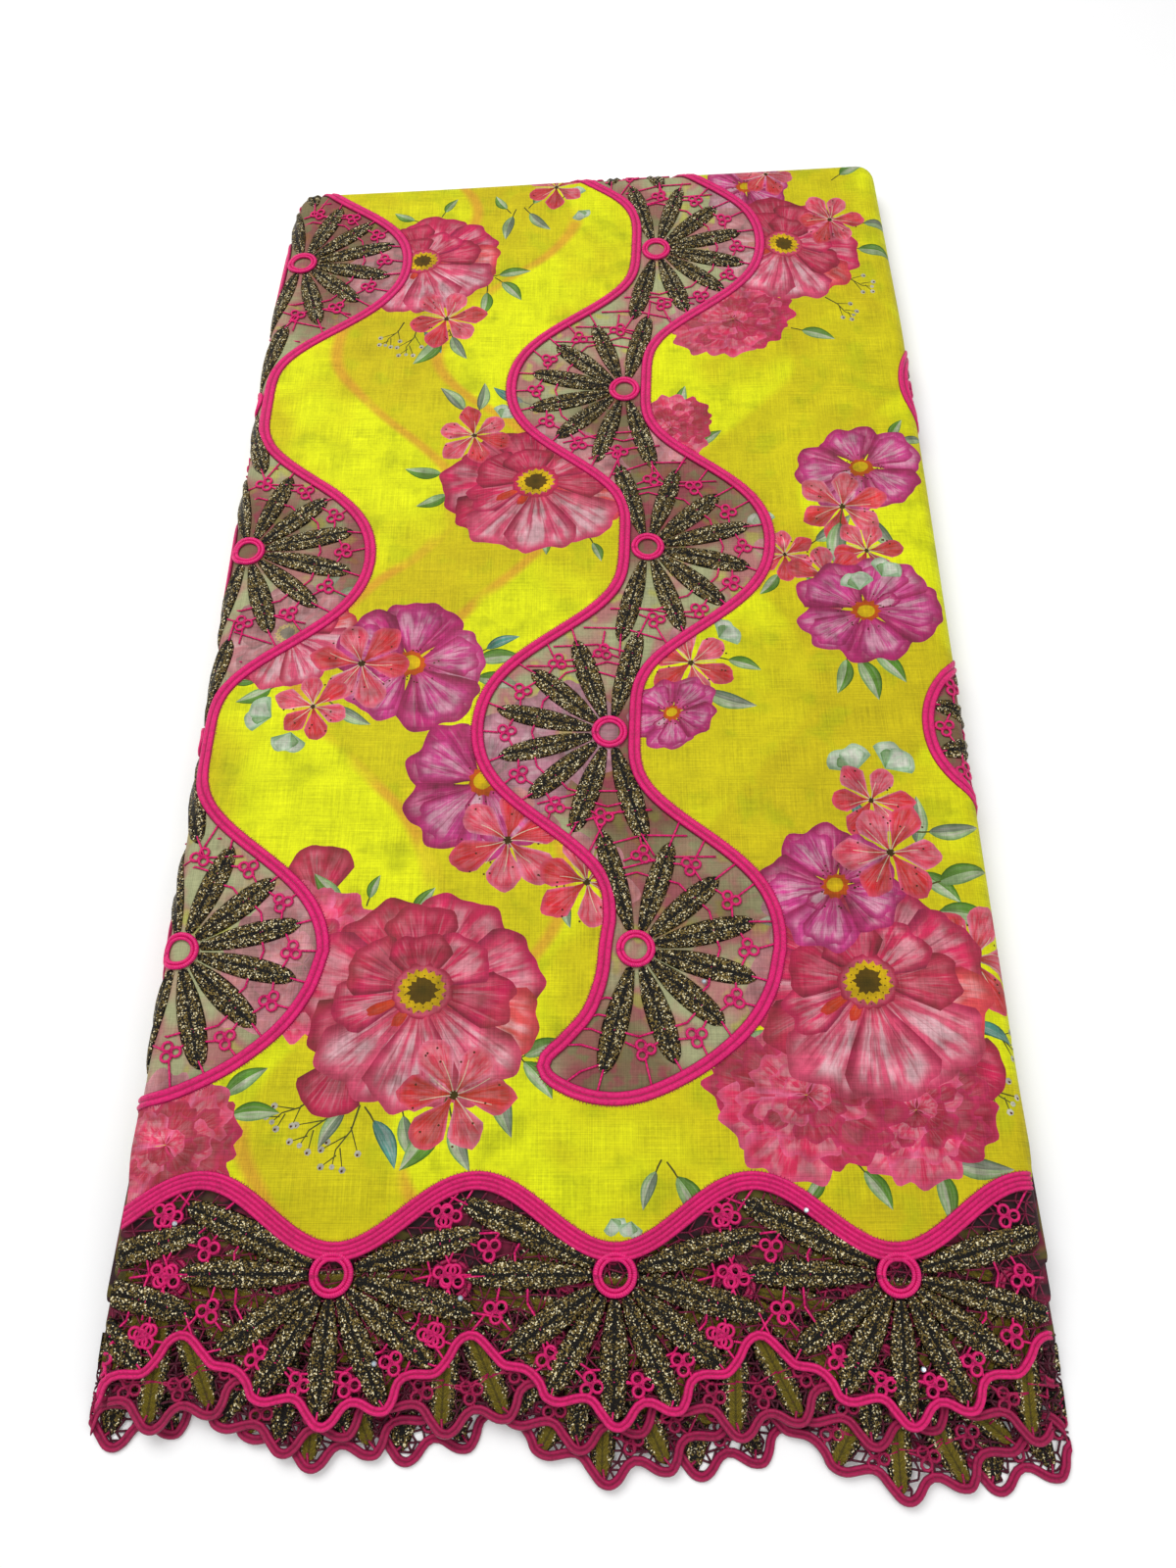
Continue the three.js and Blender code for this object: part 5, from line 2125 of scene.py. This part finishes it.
@dataclass(frozen=True)
class Cutting:
    """The cloth cut flat: points, triangles, the outlines that hold each triangle, and the inks."""

    flat: Points
    triangles: np.ndarray
    holders: list[list[int]]
    inks: list[Ink]


@dataclass
class PrintedCloth:
    """The printed voile: the panel with its openings, and the ply that shows in them."""

    packet: Packet
    bands: Sequence[Band]
    crest: Points
    grid: float = 4.0
    thickness: float = 0.5
    second_lift: float = 0.35
    seed: int = 5

    def draw(self) -> list[Ink]:
        """Draws the whole print.

        Returns:
            Its shapes, from back to front.
        """
        drawing = Drawing(self.seed)
        flowers = {
            Motif.RING_PEONY: drawing.ring_peony,
            Motif.RUFFLED_PEONY: drawing.ruffled_peony,
            Motif.WILD_ROSE: drawing.wild_rose,
            Motif.LILY: drawing.lily,
            Motif.LONE_PETAL: drawing.lone_petal,
            Motif.BUD: drawing.bud,
            Motif.SPRIG: drawing.sprig,
        }
        for motif, across, along, size, turn, squash in PRINT:
            spot = Spot(across, along, turn, squash)
            if motif in LEAVES:
                width, bend, tints = LEAVES[motif]
                drawing.leaf(spot, size, size * width, size * bend, tints)
            else:
                flowers[motif](spot, size)
        return drawing.inks

    def panel(self) -> Points:
        """The closed flat outline of the voile, anticlockwise."""
        packet = self.packet
        radius = packet.corner + packet.skirt
        near = float(packet.half_at(np.array(30.0)))
        crest = self.crest[np.abs(self.crest[:, 0]) < near]
        alongs = np.array([56, 60, 66, 72, 80, 92, 100])
        angles = np.linspace(0, QUARTER, 9)
        middle = np.array([packet.side_start, packet.far_start]) - packet.corner
        bow = middle + radius * np.stack([np.cos(angles), np.sin(angles)], axis=1)
        right = np.vstack([np.stack([packet.half_at(alongs), alongs], axis=1), bow])
        left = right[::-1] * np.array([-1, 1])
        return np.vstack([[-near, crest[0][1]], crest, [near, crest[-1][1]], right, left])

    def lattice(self) -> Points:
        """Flat points that let the cloth bend: close together over the turns."""
        start, far = self.packet.side_start, self.packet.far_start
        turn = np.linspace(0.8, self.packet.skirt - 0.3, 9)
        side = np.arange(-start, start + 0.1, self.grid)
        across = np.concatenate([-(start + turn)[::-1], side, start + turn])
        along = np.concatenate([np.arange(28, far, self.grid), far + turn])
        return np.stack(np.meshgrid(across, along), axis=-1).reshape(-1, 2)

    def cut(self) -> Cutting:
        """Cuts the panel, its openings and the print into triangles.

        Returns:
            The cut cloth.
        """
        inks = self.draw()
        loops = [anticlockwise(loop) for loop in (self.panel(), *(band.outline() for band in self.bands))]
        loops += [ink.outline for ink in inks]
        cores = [ink.cores for ink in inks if ink.cores is not None]
        points = np.vstack([*loops, *cores, self.lattice()])
        faces, start = [], 0
        for loop in loops:
            faces.append(list(range(start, start + len(loop))))
            start += len(loop)
        verts = [Vector((float(x), float(y))) for x, y in points]
        made = delaunay_2d_cdt(verts, [], faces, 1, 1e-4, True)
        return Cutting(np.array([(v.x, v.y) for v in made[0]]), np.array(made[2]), made[5], inks)

    def sheet(self, name: str, cutting: Cutting, shown: np.ndarray, lift: float, finish: Material) -> Piece:
        """Makes one sheet.

        Args:
            name: The piece's name.
            cutting: The cut cloth.
            shown: Which of its triangles belong to the sheet.
            lift: Height of its face above the top ply's underside.
            finish: Its material.

        Returns:
            The piece.
        """
        first = 1 + len(self.bands)
        owners = np.array([max(held) - first if held else -1 for held in cutting.holders])[shown]
        used, corners = np.unique(cutting.triangles[shown], return_inverse=True)
        corners = corners.reshape(-1, 3)
        own = cutting.flat[used]
        mesh = bpy.data.meshes.new(name)
        placed = self.packet.place(*own.T, np.full(len(own), lift))
        mesh.from_pydata(placed.tolist(), [], corners.tolist())
        plan = np.zeros((len(corners), 3, 2), np.float32)
        keys = ("heart", "body", "rim", "seed")
        colours = {key: np.zeros((len(corners), 3, 4), np.float32) for key in keys}
        for index in np.unique(owners[owners >= 0]):
            rows = np.nonzero(owners == index)[0]
            ink = cutting.inks[index]
            plan[rows] = ink.locate(own[corners[rows]].reshape(-1, 2)).reshape(-1, 3, 2)
            for key, share in (("heart", 1.0), ("body", ink.tint.wash), ("rim", ink.tint.vein)):
                colours[key][rows] = (*linear(getattr(ink.tint, key))[:3], share)
            colours["seed"][rows] = ink.seed
        mesh.uv_layers.new(name="plan").data.foreach_set("uv", plan.ravel())
        for key, values in colours.items():
            layer = mesh.attributes.new(key, "FLOAT_COLOR", "CORNER")
            layer.data.foreach_set("color", values.ravel())
        mesh.materials.append(finish)
        made = link(name, mesh)
        smooth(made)
        choose(made)
        shell = made.modifiers.new("thickness", "SOLIDIFY")
        shell.thickness = self.thickness * MM
        shell.offset = -1
        bpy.ops.object.modifier_apply(modifier=shell.name)
        return made

    def make(self, finish: Material, faded: Material) -> tuple[Piece, Piece]:
        """Makes the top voile and the ply under its openings.

        Args:
            finish: The voile's material.
            faded: The material of the ply that shows through the lace.

        Returns:
            The two pieces.
        """
        cutting = self.cut()
        openings = set(range(1, 1 + len(self.bands)))
        panel = np.array([0 in held for held in cutting.holders])
        opened = np.array([not openings.isdisjoint(held) for held in cutting.holders])
        voile = self.sheet("printed_voile", cutting, panel & ~opened, self.packet.voile, finish)
        return voile, self.sheet("second_ply", cutting, panel & opened, self.second_lift, faded)


# The hidden plies


@dataclass(frozen=True)
class PlyStack:
    """The folded plies under the top one, as one rounded solid with layered edges."""

    packet: Packet
    lips: int = 12
    top: float = 19.9
    nose: float = -23.0
    bed: float = 54.0
    radius: float = 13.0
    shares: tuple[float, ...] = (0.03, 0.16, 0.38, 0.62, 0.84, 0.97)
    seed: int = 3

    def near(self, height: Points) -> Points:
        """Where the plies' near edge lies at a height, under the scallops."""
        return np.interp(height, (0, 1.2, 12, 17, self.top), (self.nose, self.nose + 1, 12, 34, self.bed))

    def inset(self, height: float, around: Points, chance: np.ndarray) -> Points:
        """How far the folded edges stand in from the packet's side.

        Args:
            height: The height.
            around: Places round the packet, from 0 to 1.
            chance: Uneven numbers, a row for each lip.

        Returns:
            The inset at each place.
        """
        pitch = self.top / self.lips
        lip = min(int(height / pitch), self.lips - 1)
        part = 2 * (height / pitch - lip) - 1
        row = chance[lip]
        drift = row[0] * 2.6 + 0.9 * np.sin(2 * math.pi * (around * (2 + 3 * row[1]) + row[2]))
        drift = drift + 0.5 * np.sin(2 * math.pi * (around * 9 * (0.5 + row[3]) + row[1]))
        rounding = 1.1 * (1 - math.sqrt(max(0.0, 1 - part * part)))
        shoulder = 1.3 + 7.0 * max(0.0, height / self.top - 0.72) ** 2 * 6
        return np.maximum(shoulder + drift * 0.55 + rounding, 0.6)

    def ring(self, height: float, chance: np.ndarray) -> Points:
        """One level of the stack.

        Args:
            height: Its height.
            chance: Uneven numbers, a row for each lip.

        Returns:
            The points of the level, in metres.
        """
        half, far, radius = self.packet.half_width, self.packet.fold_line, self.radius
        near = float(self.near(np.array(height)))
        start = near + 3
        turns = np.linspace(0, QUARTER, 9)[1:-1]
        right = [(half, start + (far - radius - start) * t) for t in np.linspace(0, 1, 80)]
        right += [(half - radius + radius * math.cos(t), far - radius + radius * math.sin(t)) for t in turns]
        far_side = [(x, far) for x in np.linspace(half - radius, -half + radius, 46)]
        left = [(-x, y) for x, y in right[::-1]]
        near_side = [(x, near) for x in np.linspace(-half + 8, half - 8, 46)]
        points = np.array(right + far_side + left + near_side)
        count = len(points)
        beside = np.abs(points[:, 0]) >= half - radius
        way = np.stack([np.sign(points[:, 0]) * beside, points[:, 1] >= far - radius], axis=1)
        way = way / np.maximum(np.linalg.norm(way, axis=1, keepdims=True), 1.0)
        points = points - way * self.inset(height, np.arange(count) / count, chance)[:, None]
        x, y = self.packet.plan(points[:, 0], points[:, 1])
        return np.stack([x, y, np.full(count, height)], axis=1) * MM

    def make(self, finish: Material) -> Piece:
        """Makes the stack.

        Args:
            finish: Its material.

        Returns:
            The piece.
        """
        chance = np.random.default_rng(self.seed).random((self.lips, 4))
        pitch = self.top / self.lips
        heights = [pitch * (lip + share) for lip in range(self.lips) for share in self.shares]
        rings = [self.ring(height, chance) for height in (0.0, *heights, self.top)]
        mesh = bpy.data.meshes.new("packet_plies")
        mesh.from_pydata(np.vstack(rings).tolist(), [], tube_faces(len(rings), len(rings[0])))
        mesh.materials.append(finish)
        made = link("packet_plies", mesh)
        choose(made)
        bpy.ops.object.shade_smooth_by_angle(angle=math.radians(50))
        return made


# The studio


@dataclass(frozen=True)
class Studio:
    """A pale floor, soft light and the camera."""

    lens: float = 27.045
    sensor: float = 36.0
    place: tuple[float, float, float] = (0.00365, -0.3032, 0.518)
    tilt: float = 25.3
    floor_size: float = 6.0
    floor_drop: float = 0.0002
    sky: float = 0.4

    def make(self) -> None:
        """Builds the floor, the lights and the camera."""
        bpy.ops.object.select_all(action="DESELECT")
        bpy.ops.mesh.primitive_plane_add(size=self.floor_size, location=(0, 0, -self.floor_drop))
        floor = bpy.context.object
        floor.name = "floor"
        bpy.ops.object.transform_apply(location=True)
        floor.data.materials.append(FloorFinish().material("pale_floor"))
        camera = bpy.data.cameras.new("camera")
        camera.lens = self.lens
        camera.sensor_width = self.sensor
        holder = link("camera", camera)
        holder.location = self.place
        holder.rotation_euler = (math.radians(self.tilt), 0, 0)
        bpy.context.scene.camera = holder
        self.light("key_light", (-0.6, 0.6, 1.4), 1.0, 18)
        self.light("fill_light", (0.8, -0.7, 1.2), 1.2, 7)
        world = bpy.data.worlds.new("studio")
        world.use_nodes = True
        colour, strength = world.node_tree.nodes["Background"].inputs[:2]
        colour.default_value = (1, 1, 1, 1)
        strength.default_value = self.sky
        bpy.context.scene.world = world
        bpy.context.scene.view_settings.view_transform = "Standard"

    def light(self, name: str, place: tuple[float, float, float], size: float, power: float) -> None:
        """Adds a soft area light that faces the packet.

        Args:
            name: Its name.
            place: Where it hangs.
            size: Its width.
            power: Its power.
        """
        data = bpy.data.lights.new(name, "AREA")
        data.size = size
        data.energy = power
        lamp = link(name, data)
        lamp.location = place
        lamp.rotation_euler = (-Vector(place)).to_track_quat("-Z", "Y").to_euler()


# Putting it together


BANDS = (
    Band("band_left", -179.5, 0.011, 363, 5),
    Band("band_middle", 24.4, 0.042, 373, -4),
    Band("band_right_near", 233.5, 0.06, 373, -2, ends=False, near=200, far=340),
    Band("band_right_far", 233.5, 0.06, 373, -2, ends=False, near=410, far=540),
)
PLIES = (
    Ply("border_1", 0, 13.6, 0, 0, 70, 200),
    Ply("border_2", 1, 59, -3, -0.012, 50, 174, True),
    Ply("border_3", 2, 0, -8, 0.01, 27, 177.5),
    Ply("border_4", 3, 10, -19, -0.05, 14, 180, True),
    Ply("border_5", 4, 44, -15, -0.045, 3, 182),
)
# Where the crystals sit on petals, flat, in millimetres
CRYSTALS = tuple(LinePoint(*row) for row in (
    (-157, 42), (-45, 15), (-76, -8), (88, 47), (188, 33), (128, -10), (52, 140), (-190, 128),
))


@dataclass
class FoldedCloth:
    """The whole folded length."""

    packet: Packet = field(default_factory=Packet)

    def lace_finishes(self, reverse: bool, low: bool) -> list[Material]:
        """The satin, yarn and net of a lace piece.

        Args:
            reverse: Whether its back shows.
            low: Whether it is a lower ply's, whose satin and net are darker copies, as painted shade.

        Returns:
            The materials, by slot.
        """
        # Painted shade: the lower plies' satin and net are darker copies of the top ply's, for lying under
        # it; the nets are darker than the cords
        satin = SatinFinish((178, 0, 80), (88, 0, 38)) if low else SatinFinish()
        net = SatinFinish((84, 0, 36), (44, 0, 18)) if low else SatinFinish((124, 0, 56), (64, 0, 28))
        kind = f"{'low' if low else 'top'}_{'back' if reverse else 'face'}"
        return [
            satin.material(f"satin_{kind}"),
            YarnFinish(reverse=reverse).material(f"yarn_{kind}"),
            net.material(f"net_{kind}"),
        ]

    def dress(self, piece: Piece, slot: str, *nodes: str) -> Piece:
        """Rides a piece on the body, hides the parts that it replaces, and gives it back.

        Args:
            piece: The piece.
            slot: Not used.
            nodes: The nodes that it replaces.

        Returns:
            The piece.
        """
        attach(piece, "root")
        if nodes:
            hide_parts(*nodes)
        LOG.info("%s: %d faces", piece.name, len(piece.data.polygons))
        return piece

    def make(self) -> None:
        stack = PlyStack(self.packet).make(StackFinish().material("stacked_plies"))
        self.dress(stack, "hidden_plies", "hidden_layers")
        maker = LaceMaker(self.packet)
        cloth = PrintedCloth(self.packet, BANDS, maker.crest())
        faded = VoileFinish(washed=0.5).material("faded_voile")
        voile, second = cloth.make(VoileFinish().material("printed_voile"), faded)
        self.dress(voile, "voile", "top_voile")
        self.dress(second, "hidden_plies")
        finishes = self.lace_finishes(False, False)
        laces = [self.dress(maker.band(band, finishes), "band_lace", band.name) for band in BANDS]
        for ply in PLIES:
            own = self.lace_finishes(ply.reverse, True) if ply.level > 0 else finishes
            self.dress(maker.selvedge(ply, own), "border_lace", ply.name)
        stones = maker.crystals(CRYSTALS, CrystalFinish().material("crystal"))
        self.dress(stones, "border_lace")


def main() -> None:
    """Builds the cloth and the studio."""
    logging.basicConfig(level=logging.INFO, format="%(name)s: %(message)s")
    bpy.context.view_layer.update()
    FoldedCloth().make()
    Studio().make()
    bpy.context.view_layer.update()


if __name__ == "__main__":
    main()
